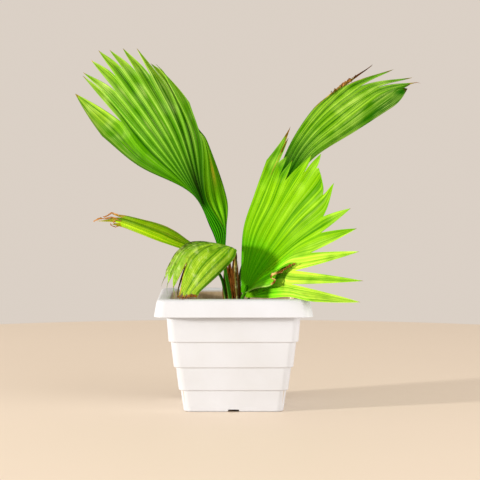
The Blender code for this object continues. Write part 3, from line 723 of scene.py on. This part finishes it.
def drooping_look(across, v, u, place):
    shade = ease(0.45, 0.15, across) * ease(0.05, 0.3, v) * ease(0.9, 0.6, v)
    base = dyed(
        srgb(146, 186, 34),
        ((152, 194, 36), ease(0.2, 0.9, v)),
        ((104, 164, 24), 0.7 * shade),
        # Lighter on the right part: painted light where the surface turns away from the key lamp.
        ((188, 222, 62), 0.7 * ease(0.4, 0.7, across) * ease(0.4, 0.9, v)),
        ((150, 196, 60), 0.7 * ease(0.44, 0.36, across) * ease(0.75, 0.95, v)),
    )
    depth = 0.22 + 0.7 * ease(0.45, 0.7, across)
    dark = spots(place, 5) + 0.6 * spots(place, 2)
    # Pale patches on the left part: partly a pale dusty bloom, partly a painted highlight.
    light = spots(place * -1, 4) + 0.6 * spots(place * -1, 1.7)
    mould = ease(-0.25, 0.12, speckle(place, 2.2)) * ease(0.32, 0.1, across)
    mould *= ease(0.08, 0.2, v) * ease(0.85, 0.6, v)
    dust = spots(place + Vector((7, 3, 1)), 1.3) * ease(0.5, 0.1, across + 0.3 * speckle(place, 4))
    rim = bell(across, 0.0, 0.07) * ease(0.02, 0.15, v)
    colour = dyed(
        pleat_shade_and_highlight(u, base, srgb(52, 128, 0), srgb(192, 222, 82), depth),
        ((84, 132, 10), 1.3 * dark * ease(0.85, 0.3, v) * ease(0.95, 0.5, across)),
        ((206, 220, 150), 0.9 * light * ease(0.6, 0.2, across) * ease(0.4, 0.65, v)),
        ((52, 88, 0), 0.92 * mould),
        ((92, 90, 34), 1.5 * dust * ease(0.02, 0.15, v) * ease(1.2, 0.8, v)),
        ((66, 62, 8), rim * (0.6 + 1.2 * speckle(place, 2.4))),
    )
    start = 1.36 if u > 9 else 1.5 if u > 6 else 1.82
    dry = ease(start, start + 0.15, v + 0.14 * speckle(place, 2.5))
    if 5.6 < u < 6.4:
        dry = max(dry, ease(0.97, 1.02, v) * bell(u, 6.0, 0.45))
    return colour, max(dry, 0.6 * rim * max(0, 0.3 + speckle(place, 3)))


def low_look(across, v, u, place):
    base = dyed(
        srgb(128, 166, 6),
        ((180, 218, 10), ease(0.42, 0.6, across)),
        ((120, 120, 16), 0.7 * spots(place, 5) * ease(0.6, 0.3, across)),
        ((50, 130, 4), 0.7 * ease(0.35, 0.05, v)),
    )
    colour = pleat_shade_and_highlight(u, base, srgb(84, 150, 0), srgb(196, 226, 60), 0.4)
    dry = ease(1.0, 1.25, v + 0.25 * speckle(place, 3))
    margin = max(ease(0.05, 0.0, across), ease(0.95, 1.0, across))
    return colour, max(dry, 0.75 * margin * ease(0.1, 0.3, v))


WHITE = (1.0, 1.0, 1.0)


class Nodes:
    """Short ways to lay out a material's nodes."""

    def __init__(self, name):
        self.material = bpy.data.materials.new(name)
        self.material.use_nodes = True
        self.tree = self.material.node_tree
        self.shader = self.tree.nodes["Principled BSDF"]

    def add(self, kind, inputs=(), **settings):
        node = self.tree.nodes.new(kind)
        for key, value in settings.items():
            setattr(node, key, value)
        for key, value in dict(inputs).items():
            self.put(node.inputs[key], value)
        return node

    def put(self, socket, value):
        if isinstance(value, bpy.types.NodeSocket):
            self.tree.links.new(value, socket)
        elif isinstance(value, tuple) and len(value) == 3 and socket.type == "RGBA":
            socket.default_value = (*value, 1.0)
        else:
            socket.default_value = value

    def set(self, **inputs):
        for key, value in inputs.items():
            self.put(self.shader.inputs[key.replace("_", " ")], value)

    def math(self, operation, a, b=0.0, c=0.0):
        node = self.add("ShaderNodeMath", {0: a, 1: b, 2: c}, operation=operation)
        return node.outputs[0]

    def mix(self, share, a, b, blend_type="MIX"):
        node = self.add("ShaderNodeMix", data_type="RGBA", blend_type=blend_type)
        self.put(node.inputs[0], share)
        self.put(node.inputs[6], a)
        self.put(node.inputs[7], b)
        return node.outputs[2]

    def ramp(self, value, low, high, to_low=0.0, to_high=1.0):
        inputs = {"Value": value, "From Min": low, "From Max": high, "To Min": to_low, "To Max": to_high}
        return self.add("ShaderNodeMapRange", inputs).outputs["Result"]

    def noise(self, vector, scale, detail, rough, stretch=None):
        """Noise, finer in the directions that are stretched by more."""
        if stretch:
            vector = self.add("ShaderNodeMapping", {"Vector": vector, "Scale": stretch}).outputs["Vector"]
        inputs = {"Vector": vector, "Scale": scale, "Detail": detail, "Roughness": rough}
        return self.add("ShaderNodeTexNoise", inputs).outputs["Fac"]

    def place(self):
        return self.add("ShaderNodeTexCoord").outputs["Object"]

    def along_leaf(self):
        return self.add("ShaderNodeUVMap", uv_map="leaf").outputs["UV"]

    def attribute(self, name, output="Color"):
        return self.add("ShaderNodeAttribute", attribute_name=name).outputs[output]

    def bump(self, height, strength, distance):
        inputs = {"Height": height, "Strength": strength, "Distance": distance}
        return self.add("ShaderNodeBump", inputs).outputs["Normal"]


def leaf_material(name, rough, shine, contrast, mottle=0.0, gleam=0.5, fine=6.5, start=0.5):
    """A blade's or stalk's surface. Its colour comes from its points, and here it gets veins and
    bands as strong as contrast, pale mottling, and a gleam beyond start on its way to the tip."""
    n = Nodes(name)
    uv = n.along_leaf()
    place = n.place()
    bend = n.noise(place, 60.0, 2.0, 0.5)
    vein = n.noise(uv, 1.0, 3.0, 0.7, (fine, 0.35, 1.0))
    streak = n.noise(uv, 1.0, 1.0, 0.5, (3.2, 0.7, 1.0))
    cloud = n.noise(place, 90.0, 4.0, 0.6)
    lines = n.mix(n.ramp(vein, 0.4, 0.58), blend(WHITE, (0.3, 0.52, 0.12), contrast), (1.16, 1.1, 1.2))
    bands = n.mix(n.ramp(streak, 0.36, 0.52), blend(WHITE, (0.42, 0.64, 0.3), contrast), (1.1, 1.06, 1.12))
    lines = n.mix(n.ramp(bend, 0.3, 0.7, 0.5, 1.0), (0.9, 0.95, 0.8), lines)
    green = n.mix(1.0, n.attribute("tint"), lines, "MULTIPLY")
    green = n.mix(1.0, green, bands, "MULTIPLY")
    green = n.mix(n.ramp(cloud, 0.5, 0.75, 0.0, 0.35), green, (0.7, 0.85, 0.6), "MULTIPLY")
    if mottle:
        blotch = n.noise(place, 130.0, 5.0, 0.75, (1.0, 1.0, 0.7))
        green = n.mix(n.ramp(blotch, 0.5, 0.6, 0.0, mottle), green, (0.5, 0.62, 0.35), "MULTIPLY")
        green = n.mix(n.ramp(blotch, 0.46, 0.38, 0.0, mottle * 0.7), green, srgb(226, 236, 176))
    # The gleam is a painted sheen: pale streaks blended into the base colour towards the tips.
    sheen = n.ramp(n.noise(uv, 1.0, 3.0, 0.7, (fine * 0.8, 0.5, 1.0)), 0.5, 0.62)
    patch = n.ramp(n.noise(place, 38.0, 2.0, 0.5, (1.0, 0.3, 1.0)), 0.42, 0.66, 0.0, gleam)
    outer = n.ramp(n.add("ShaderNodeSeparateXYZ", {"Vector": uv}).outputs["Y"], start, start + 0.35)
    sheen = n.math("MULTIPLY", sheen, outer)
    green = n.mix(n.math("MULTIPLY", sheen, patch), green, srgb(194, 222, 112))
    grain = n.noise(place, 700.0, 4.0, 0.65)
    brown = n.mix(n.ramp(grain, 0.35, 0.6), srgb(56, 26, 4), srgb(150, 92, 34))
    brown = n.mix(n.ramp(cloud, 0.5, 0.62), brown, srgb(206, 152, 84))
    brown = n.mix(0.35, brown, n.attribute("tint"))
    edge = n.math("ADD", n.attribute("dry", "Fac"), n.ramp(grain, 0.3, 0.7, -0.22, 0.22))
    dry = n.ramp(edge, 0.42, 0.62)
    n.set(Base_Color=n.mix(dry, green, brown))
    dull = n.math("ADD", dry, n.ramp(vein, 0.2, 0.8, 0.0, 0.25))
    n.set(Roughness=n.ramp(dull, 0.0, 1.0, rough, 0.8))
    n.set(Normal=n.bump(n.math("ADD", vein, n.math("MULTIPLY", grain, 0.25)), 0.5, 0.0005))
    n.set(Specular_IOR_Level=shine, Specular_Tint=(0.6, 1.0, 0.1))
    return n.material


def pot_material():
    n = Nodes("white_plastic_fine")
    place = n.place()
    cloud = n.noise(place, 22.0, 3.0, 0.5)
    grain = n.noise(place, 1400.0, 2.0, 0.5)
    white = n.mix(n.ramp(cloud, 0.35, 0.7), srgb(204, 208, 217), srgb(199, 202, 209))
    split = n.add("ShaderNodeSeparateXYZ", {"Vector": place})
    sides = [n.math("ABSOLUTE", split.outputs[axis]) for axis in ("X", "Y")]
    # Painted shade: the inside wall below the mouth turns a mottled taupe brown.
    sloped = n.math("MULTIPLY_ADD", split.outputs["Z"], SHADE_LEAN, n.math("MAXIMUM", *sides))
    within = n.ramp(sloped, *SHADE_WITHIN)
    deep = n.ramp(split.outputs["Z"], *SHADE_BELOW)
    shade_noise = n.noise(place, 120.0, 4.0, 0.6, (1.0, 1.0, 0.4))
    inside_shade = n.mix(n.ramp(shade_noise, 0.35, 0.65), srgb(200, 180, 150), srgb(160, 138, 108))
    n.set(Base_Color=n.mix(n.math("MULTIPLY", within, deep), white, inside_shade))
    n.set(Roughness=n.ramp(cloud, 0.3, 0.7, 0.34, 0.44))
    n.set(Normal=n.bump(grain, 0.06, 0.0003))
    n.set(Specular_IOR_Level=0.45)
    return n.material


def soil_material():
    n = Nodes("potting_soil_fine")
    place = n.place()
    coarse = n.noise(place, 160.0, 5.0, 0.65)
    fine = n.noise(place, 900.0, 4.0, 0.6)
    colour = n.mix(n.ramp(coarse, 0.35, 0.65), srgb(38, 26, 18), srgb(84, 60, 42))
    colour = n.mix(n.ramp(fine, 0.58, 0.75, 0.0, 0.7), colour, srgb(120, 92, 66))
    n.set(Base_Color=n.mix(0.5, colour, n.attribute("tint")), Roughness=0.95)
    n.set(Normal=n.bump(n.math("ADD", coarse, fine), 0.8, 0.001))
    n.set(Specular_IOR_Level=0.2)
    return n.material


def fibre_material():
    n = Nodes("dry_fibre")
    uv = n.along_leaf()
    place = n.place()
    streak = n.noise(uv, 1.0, 3.0, 0.6, (14.0, 1.2, 1.0))
    grain = n.noise(place, 900.0, 3.0, 0.6, (1.0, 1.0, 0.12))
    colour = n.mix(n.ramp(streak, 0.35, 0.7), n.attribute("tint"), (0.36, 0.3, 0.2), "MULTIPLY")
    colour = n.mix(n.ramp(grain, 0.45, 0.7, 0.0, 0.4), colour, srgb(170, 110, 44))
    n.set(Base_Color=colour, Roughness=0.85, Specular_IOR_Level=0.1)
    n.set(Normal=n.bump(n.math("ADD", streak, grain), 0.7, 0.0006))
    return n.material


def place_piece(obj, node, degrees=50):
    smooth(obj, degrees)
    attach(obj, "root")
    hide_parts(node)


def stem_colour(top, foot, turn=0.35):
    """A stalk's colour from its upper end to its foot in the soil, as it looks on screen."""
    return lambda share: blend(srgb(*top), srgb(*foot), ease(turn, 0.9, share))


# The pot's wall in section: height, half width, corner radius and how far the bend is rounded
POT_FOOT = ((0.0, 36.0, 3.0, 0.0), (0.0, 44.3, 7.0, 1.8))
POT_TOP = (
    (99.8, 60.3, 7.5, 1.0), (99.6, 65.0, 8.0, 1.0), (86.5, 68.2, 8.4, 0.5), (86.4, 70.0, 10.0, 0.9),
    (102.0, 67.2, 8.6, 3.4), (102.0, 57.0, 6.2, 2.0), (86.6, 55.2, 5.5, 6.0), (5.0, 41.6, 4.6, 2.0),
    (5.0, 30.0, 2.0, 0.0),
)

# Each tier's lower edge, and its half width there and at its top
TIERS = ((0.0, 44.5, 46.9), (19.4, 48.7, 51.0), (40.2, 53.0, 55.4), (63.2, 57.4, 59.9))
TIER_CORNER = 7.5
CORNER_STEPS, BEND_STEPS = 14, 4

# The painted shade on the inside wall, in metres: how the wall leans, and where the shade fades in
SHADE_LEAN = -0.1667
SHADE_WITHIN = (0.0423, 0.0415)
SHADE_BELOW = (0.1006, 0.0982)

# The drain channels' section and ends, and the drain holes
CHANNEL = ((-6, -1), (6, -1), (4.5, 2.2), (-4.5, 2.2))
CHANNEL_ENDS = (-52, -22)
DRAIN_RADIUS, DRAIN_DEPTH = 0.0035, 0.009
DRAIN_CENTRE = (0, -0.022, 0.0025)


def square_ring(bm, z, half, radius):
    ring = []
    for corner in range(4):
        for step in range(CORNER_STEPS + 1):
            angle = math.pi / 2 * (corner - 1 + step / CORNER_STEPS)
            cx = (half - radius) * (1, 1, -1, -1)[corner]
            cy = (half - radius) * (-1, 1, 1, -1)[corner]
            x = cx + radius * math.cos(angle)
            y = cy + radius * math.sin(angle)
            ring.append(bm.verts.new((x * MM, y * MM, z * MM)))
    return ring


def rounded(profile):
    """A profile's heights, half widths and corners, with each bend rounded off."""
    rings = [profile[0][:3]]
    for before, here, after in zip(profile, profile[1:], profile[2:]):
        point = Vector(here[:3])
        back = Vector(before[:3]) - point
        on = Vector(after[:3]) - point
        start = point + back.normalized() * min(here[3], back.length * 0.45)
        end = point + on.normalized() * min(here[3], on.length * 0.45)
        for i in range(BEND_STEPS + 1):
            t = i / BEND_STEPS
            rings.append(tuple(start * (1 - t) ** 2 + point * 2 * t * (1 - t) + end * t * t))
    rings.append(profile[-1][:3])
    return rings


def pot_profile():
    """The whole wall in section: foot, four tiers, hanging rim, mouth and inside."""
    profile = list(POT_FOOT)
    for (_, _, below), (low, half, _) in zip(TIERS, TIERS[1:]):
        profile.append((low - 0.15, below + 0.1, TIER_CORNER, 0.5))
        profile.append((low + 0.35, half - 0.05, TIER_CORNER, 0.8))
    return profile + list(POT_TOP)


def stack(bm, rings):
    """Closes a stack of rings of bmesh points into a body, its faces turned outward."""
    for low, high in zip(rings, rings[1:]):
        for i in range(len(low)):
            k = (i + 1) % len(low)
            bm.faces.new((low[i], low[k], high[k], high[i]))
    bm.faces.new(reversed(rings[0]))
    bm.faces.new(rings[-1])
    bmesh.ops.recalc_face_normals(bm, faces=bm.faces)


def cutter(kind):
    """The body of a drain channel or of a drain hole, at the front of the foot."""
    bm = bmesh.new()
    if kind == "channel":
        stack(bm, [[bm.verts.new((x * MM, y * MM, z * MM)) for x, z in CHANNEL] for y in CHANNEL_ENDS])
    else:
        bmesh.ops.create_cone(
            bm, cap_ends=True, segments=40, radius1=DRAIN_RADIUS, radius2=DRAIN_RADIUS, depth=DRAIN_DEPTH
        )
        bmesh.ops.translate(bm, vec=DRAIN_CENTRE, verts=bm.verts)
        bmesh.ops.recalc_face_normals(bm, faces=bm.faces)
    return bmesh_object(bm, kind)


def pot_piece():
    bm = bmesh.new()
    stack(bm, [square_ring(bm, z, half, corner) for z, half, corner in rounded(pot_profile())])
    pot = bmesh_object(bm, "square_pot")
    cutters = []
    for turn in range(4):
        for kind in ("channel", "drain"):
            tool = cutter(kind)
            tool.rotation_euler = (0, 0, math.pi / 2 * turn)
            modifier = pot.modifiers.new(kind, "BOOLEAN")
            modifier.operation = "DIFFERENCE"
            modifier.object = tool
            cutters.append(tool)
    apply_modifiers(pot)
    for tool in cutters:
        bpy.data.objects.remove(tool, do_unlink=True)
    pot.data.materials.clear()
    pot.data.materials.append(pot_material())
    place_piece(pot, "pot", 40)


# Soil: the height of its level and of its foot, half widths there, and its crumbs
SOIL_LEVEL, SOIL_HALF = 81.0, 53.8
SOIL_FOOT, SOIL_FOOT_HALF = 5.4, 40.2
SOIL_AROUND, SOIL_RINGS = 96, 30
SOIL_SQUARENESS = 7
SOIL_CRUMBS, CRUMB_SPREAD = 850, 53


def soil_height(x, y):
    waves = math.sin(0.16 * x + 0.9) * math.cos(0.14 * y - 0.4)
    ripples = math.sin(0.33 * x - 0.27 * y) * 0.5
    mound = 2.0 * math.exp(-(x * x + y * y) / 900.0)
    return SOIL_LEVEL + waves + ripples + mound


def soil_piece():
    shape = Shape()
    outline = []
    for i in range(SOIL_AROUND):
        angle = 2 * math.pi * i / SOIL_AROUND
        c, s = math.cos(angle), math.sin(angle)
        reach = (abs(c) ** SOIL_SQUARENESS + abs(s) ** SOIL_SQUARENESS) ** (-1 / SOIL_SQUARENESS)
        outline.append((c * reach, s * reach))
    tint = srgb(58, 40, 28)
    grid = []
    for z, half in ((SOIL_FOOT, SOIL_FOOT_HALF), (SOIL_LEVEL, SOIL_HALF)):
        grid.append([shape.add((x * half, y * half, z), tint=tint) for x, y in outline])
    for r in range(1, SOIL_RINGS):
        share = (1 - r / SOIL_RINGS) ** 0.9
        ring = []
        for x, y in outline:
            px, py = x * SOIL_HALF * share, y * SOIL_HALF * share
            lump = noise.noise(Vector((px, py, 0)) * 0.35) * 1.1
            pz = soil_height(px, py) + lump * min(1.0, r / 2)
            ring.append(shape.add((px, py, pz), tint=tint))
        grid.append(ring)
    shape.close(grid)
    rng = random.Random(11)
    bm = bmesh.new()
    bmesh.ops.create_icosphere(bm, subdivisions=1, radius=1.0)
    lump = [v.co.copy() for v in bm.verts]
    lump_faces = [tuple(v.index for v in f.verts) for f in bm.faces]
    bm.free()
    for _ in range(SOIL_CRUMBS):
        x, y = [rng.uniform(-CRUMB_SPREAD, CRUMB_SPREAD) for _ in range(2)]
        size = rng.uniform(0.5, 1.0) ** 2 * 2.1
        flat = rng.uniform(0.5, 1.0)
        seed = Vector((rng.uniform(0, 99), rng.uniform(0, 99), 0))
        shade = blend(srgb(34, 22, 15), srgb(112, 82, 56), rng.random() ** 1.6)
        first = len(shape.points)
        for co in lump:
            warped = co * size * (1 + 0.45 * noise.noise(co * 1.3 + seed))
            z = soil_height(x, y) + size * 0.25 + warped.z * flat
            shape.add((x + warped.x, y + warped.y, z), tint=shade)
        shape.faces += [tuple(first + i for i in face) for face in lump_faces]
    obj = shape.make("soil_bed", soil_material())
    place_piece(obj, "soil")


def sheath_strip(x, y, tx, ty, tz, width, thick):
    """One old leaf base: a pointed strip, curved across and ragged at its edges."""
    strip = Shape()
    foot, top = Vector((x, y, SHEATH_BOTTOM)), Vector((tx, ty, tz))
    out = Vector((0, -1 if y < CROWN.y - 0.1 else 1, 0))
    grid = []
    for j in range(SHEATH_ROWS + 1):
        share = j / SHEATH_ROWS
        size = 0.85 + share * 0.35
        if share >= SHEATH_WIDEST:
            size = 0.97 * (1 - ((share - SHEATH_WIDEST) / (1 - SHEATH_WIDEST)) ** 2.6) + 0.02
        row = []
        for i in range(SHEATH_COLUMNS + 1):
            across = i / SHEATH_COLUMNS * 2 - 1
            ragged = 1 + 0.16 * noise.noise(Vector((i * 0.9, j * 0.7, tz)))
            p = foot.lerp(top, share)
            p.x += across * width / 2 * size * ragged
            p += out * thick * (0.35 - 0.8 * across * across) * size
            p.y += 0.35 * noise.noise(Vector((i * 0.5, j * 0.35, tx)))
            stripe = noise.noise(Vector((i * 0.8, j * 0.1, tz)))
            pale = 0.7 * bell(across, 0.8, 0.12) * (tz > 137)
            tone = dyed(srgb(*BROWNS[0]), (BROWNS[2], 0.45 + 0.8 * stripe), (BROWNS[3], pale))
            row.append(strip.add(p, (i * 0.25, share), tone))
        grid.append(row)
    strip.weave(grid)
    return strip


def fibre_tuft():
    """Loose fibres that stand round the crown and lean in over it."""
    rng = random.Random(5)
    fibres = Shape()
    for _ in range(FIBRES):
        angle = rng.uniform(0, 2 * math.pi)
        foot = CROWN + Vector((4.2 * math.cos(angle), 2.9 * math.sin(angle), 0))
        height = rng.uniform(14, 44) * (0.6 + 0.4 * abs(math.cos(angle * 0.5)))
        lean = Vector((rng.uniform(-0.12, 0.1), rng.uniform(-0.1, 0.06), 1)) * height
        base = foot + Vector((0, 0, rng.uniform(81, 94)))
        sway = Vector((rng.uniform(-1.3, 1.3), rng.uniform(-1, 1), 0))
        inward = (CROWN - foot) * rng.uniform(0.1, 0.7)
        shares = (0, 0.25, 0.5, 0.75, 1)
        line = [base + lean * t + sway * math.sin(t * 3) + inward * t for t in shares]
        r = rng.uniform(0.18, 0.42)
        tone = srgb(*BROWNS[rng.choice((0, 0, 1, 1, 1, 2))])
        tube(fibres, line, [r, r, r * 0.8, r * 0.55, r * 0.15], tone, 5)
    return fibres


def sheath_piece(material):
    """Old leaf bases: a rough core, pointed strips round it, and loose fibres."""
    core = Shape()
    wide, deep = CROWN_CORE
    line = [CROWN + Vector((0, 0, z)) for z in CROWN_LEVELS]
    tube(core, line, [deep] * 4 + [2.2, 0.8], srgb(*BROWNS[0]), 16)
    for p in core.points:
        p.x = CROWN.x + (p.x - CROWN.x) * wide / deep
    parts = [core.make("leaf_base_tuft", material)]
    for row in SHEATHS:
        strip = sheath_strip(*row)
        obj = strip.make("strip", material)
        thicken(obj, strip, SHEATH_THICK)
        parts.append(obj)
    parts.append(fibre_tuft().make("fibres", material))
    place_piece(join(parts), "leaf_sheaths")


def old_stalk_piece(material):
    shape = Shape()
    stalk(shape, OLD_STALK, stem_colour((44, 22, 8), (70, 40, 16)))
    for p in shape.points:
        p += Vector((1, 1, 0)) * 0.22 * noise.noise(p * 0.6)
    obj = shape.make("old_dry_stalk", material)
    place_piece(obj, "old_stalk")


def flap_sheet(layout):
    """The withered flap: it leaves one pleat of the fan and hangs to its free edge."""
    pleat = pleated(fan_rays(layout)[0], layout["pleat"])[FLAP_PLEAT]

    def on_pleat(place):
        """Places 0 to 2 cover the pleat's first span, and three more cover each later one."""
        at = place * ROWS[0] / 2 if place < 2 else ROWS[0] + (place - 2) * ROWS[1] / 3
        low = min(int(at), len(pleat) - 2)
        return pleat[low].lerp(pleat[low + 1], at - low)

    steps = [FLAP_STEPS] * (len(FLAP) - 1)
    roots = along([on_pleat(row[0]) for row in FLAP], steps)
    edges = along(vectors(row[1:] for row in FLAP), steps)
    shape = Shape()
    grid = []
    for j, (root, edge) in enumerate(zip(roots, edges)):
        share = j / (len(roots) - 1)
        top = root - (edge - root).normalized() * BLADE_THICK * 0.8
        control = top.lerp(edge, 0.5) + Vector((0, -2 * FLAP_BULGE, 0))
        row = []
        for i in range(FLAP_COLUMNS + 1):
            t = i / FLAP_COLUMNS
            p = top * (1 - t) ** 2 + control * 2 * t * (1 - t) + edge * t * t
            p.y -= 0.4 * math.sin(i * 1.9) * ease(0, 0.2, share)
            burnt = 0.8 * ease(0.52, 0.66, share) * ease(0.86, 1.0, t + 0.3 * noise.noise(p * 0.5))
            if burnt > 0.1:
                p += noise.noise_vector(p * 0.3) * 0.8 * burnt
            tone = dyed(
                srgb(90, 200, 10),
                ((130, 210, 30), t),
                ((120, 110, 40), 0.5 * max(0, noise.noise(p * 0.2))),
                ((206, 240, 130), 0.9 * bell(t, 1.0, 0.1) * ease(0.66, 0.5, share)),
            )
            row.append(shape.add(p, (30 + t * 3, share * 2), tone, burnt))
        grid.append(row)
    shape.weave(grid)
    return shape


def dry_curl():
    """The burnt end of the flap: a curled tan ribbon and a crumbly edge beyond it."""
    shape = Shape()

    # Along the curl the colour swings between pale tan and dark brown: the pale turns are a painted
    # highlight over the dry tan.
    def tan(share):
        return blend(srgb(238, 190, 126), srgb(120, 62, 18), 0.5 + 0.5 * math.sin(share * 17))

    line = along(vectors(CURL), [5] * (len(CURL) - 1))
    count = len(line) - 1
    radii = [0.55 + 0.75 * abs(math.sin(5.5 * i / count)) for i in range(count + 1)]
    tube(shape, line, radii, tan, 10, 0.0, 0.45)
    line = along(vectors(CRUMBLY_EDGE), [7] * (len(CRUMBLY_EDGE) - 1))
    radii = [0.12 + 0.4 * abs(math.sin(i * 1.1)) * (1 - i / len(line)) for i in range(len(line))]
    tube(shape, line, radii, srgb(150, 120, 40), 8, 0.3, 0.5)
    for p in shape.points:
        p += noise.noise_vector(p * 0.55) * 0.75
    crumbs(shape, 44, 1.3, 1.0, *CRUMBLY_EDGE)
    return shape


def crumbs(shape, count, size, dry, *points):
    """Small dry flakes along a line."""
    rng = random.Random(count)
    line = along(vectors(points), [12] * (len(points) - 1))
    for _ in range(count):
        centre = rng.choice(line) + Vector([rng.uniform(-0.8, 0.8) for _ in range(3)])
        way = Vector([rng.uniform(-1, 1) for _ in range(3)]).normalized()
        r = size * rng.uniform(0.35, 1.0)
        flake = [centre - way * r, centre, centre + way * r]
        tone = blend(srgb(60, 16, 0), srgb(206, 150, 90), rng.random() ** 1.8)
        tube(shape, flake, [r * 0.25, r * 0.7, r * 0.2], tone, 6, dry, 0.5)


def thread(shape, radius, colour, *points):
    """A thread that thins to nothing, all dry where it has no colour of its own."""
    line = along(vectors(points), [5] * (len(points) - 1))
    radii = [radius * (1 - 0.85 * i / (len(line) - 1)) for i in range(len(line))]
    tube(shape, line, radii, srgb(*(colour or DRY_THREAD)), 6, 0.0 if colour else 1.0)


def ribbon(shape, width, seed, *points):
    """A crumpled dry strip that follows the points."""
    first = len(shape.points)
    line = along(vectors(points), [6] * (len(points) - 1))
    last = len(line) - 1
    radii = [width * (0.35 + 0.65 * math.sin(math.pi * i / last) ** 0.5) for i in range(last + 1)]
    tube(shape, line, radii, srgb(200, 140, 80), 8, 1.0, 0.4)
    for p in shape.points[first:]:
        p += noise.noise_vector(p * 0.5 + Vector((seed, 0, 0))) * 0.9


def frond_parts(name, layout, look, material, stem_tint):
    """The blade, and its stalk with whatever hangs loose from the blade."""
    sheet = blade(layout, look)
    blade_obj = sheet.make(name, material)
    thicken(blade_obj, sheet, BLADE_THICK)
    stem = Shape()
    stalk(stem, layout["stalk"], stem_tint)
    for key, add in (("threads", thread), ("crumbs", crumbs), ("ribbons", ribbon)):
        for row in layout.get(key, ()):
            add(stem, *row)
    return [blade_obj, stem.make(name + "_stem", material)]


def flap_parts(layout, material):
    sheet = flap_sheet(layout)
    flap = sheet.make("flap", material)
    thicken(flap, sheet, BLADE_THICK)
    return [flap, dry_curl().make("hook", material)]


def drooping_stem(share):
    """Dark brown with one pale stretch below the blade."""
    tan = 0.7 * bell(share, 0.5, 0.06)
    return blend(blend(srgb(70, 34, 8), srgb(96, 70, 24), share), srgb(196, 160, 90), tan)


def fronds():
    green = leaf_material("leaf_green_fine", 0.45, 0.08, 1.1, gleam=0.4)
    far = leaf_material("leaf_far_fine", 0.45, 0.08, 1.35, gleam=0.65, fine=8.0, start=0.3)
    lime = leaf_material("leaf_lime_fine", 0.5, 0.1, 0.8, gleam=0.3)
    pale = leaf_material("leaf_pale_fine", 0.6, 0.1, 0.8, mottle=0.36)
    tall_stem = stem_colour((24, 96, 0), (60, 110, 16))
    front_stem = stem_colour((60, 136, 0), (44, 96, 10), 0.1)
    upper_stem = stem_colour((20, 90, 20), (60, 34, 12), 0.3)
    low_stem = stem_colour((20, 84, 4), (52, 74, 10))
    for way, slot, layout, look, material, stem in (
        ("tall", "leaf_green", TALL, tall_look, green, tall_stem),
        ("front", "leaf_lime", FRONT, front_look, lime, front_stem),
        ("upper", "leaf_green", UPPER, upper_look, far, upper_stem),
        ("drooping", "leaf_pale", DROOPING, drooping_look, pale, drooping_stem),
        ("low", "leaf_green", LOW, low_look, green, low_stem),
    ):
        parts = frond_parts(way + "_frond", layout, look, material, stem)
        if layout is FRONT:
            parts += flap_parts(layout, material)
        place_piece(join(parts), "frond_" + way, LEAF_CREASE_ANGLE)


# Lights: name, place, what it faces, size, watts and colour
LIGHTS = (
    ("key", (-2.1, -0.9, 0.42), (0, 0, 0.2), 0.2, 64, (1.0, 0.95, 0.86)),
    ("fill", (1.4, -1.9, 0.9), (0, 0, 0.15), 1.6, 17, (1.0, 0.99, 0.97)),
    ("side", (1.35, -0.6, 0.12), (0, 0, 0.06), 0.6, 12, (1.0, 0.95, 0.88)),
)
STUDIO_STRENGTH = 0.74
FLOOR_RADIUS, FLOOR_HEIGHT = 0.8, -0.0001


def floor_material():
    n = Nodes("floor_paint")
    colour = srgb(236, 222, 205)
    darker = tuple(c * 0.97 for c in colour)
    cloud = n.noise(n.place(), 3.0, 3.0, 0.5)
    n.set(Base_Color=n.mix(cloud, colour, darker), Roughness=0.6, Specular_IOR_Level=0.2)
    return n.material


def area_light(name, place, target, size, power, colour):
    light = bpy.data.lights.new(name, "AREA")
    light.shape = "DISK"
    light.size = size
    light.energy = power
    light.color = colour
    obj = new_object(name, light)
    obj.location = place
    obj.rotation_euler = (Vector(target) - Vector(place)).to_track_quat("-Z", "Y").to_euler()


def stage():
    scene = bpy.context.scene
    bm = bmesh.new()
    bmesh.ops.create_circle(bm, cap_ends=True, segments=256, radius=FLOOR_RADIUS)
    floor = bmesh_object(bm, "floor")
    floor.location = (0, 0, FLOOR_HEIGHT)
    floor.data.materials.append(floor_material())
    world = bpy.data.worlds.new("studio")
    world.use_nodes = True
    back = world.node_tree.nodes["Background"]
    back.inputs["Color"].default_value = (*srgb(250, 238, 226), 1.0)
    back.inputs["Strength"].default_value = STUDIO_STRENGTH
    scene.world = world
    for light in LIGHTS:
        area_light(*light)
    scene.view_settings.view_transform = "Standard"
    camera = bpy.data.cameras.new("camera")
    camera.sensor_fit = "HORIZONTAL"
    camera.sensor_width = SENSOR
    camera.lens = SENSOR * FOCAL_PIXELS / WIDTH_PIXELS
    obj = new_object("camera", camera)
    obj.location = CAMERA
    obj.rotation_euler = (math.radians(90 - TILT), 0, math.radians(-TURN))
    scene.camera = obj


noise.seed_set(CRUMPLE_SEED)
pot_piece()
soil_piece()
fronds()
fibre = fibre_material()
sheath_piece(fibre)
old_stalk_piece(fibre)
stage()

bpy.context.view_layer.update()
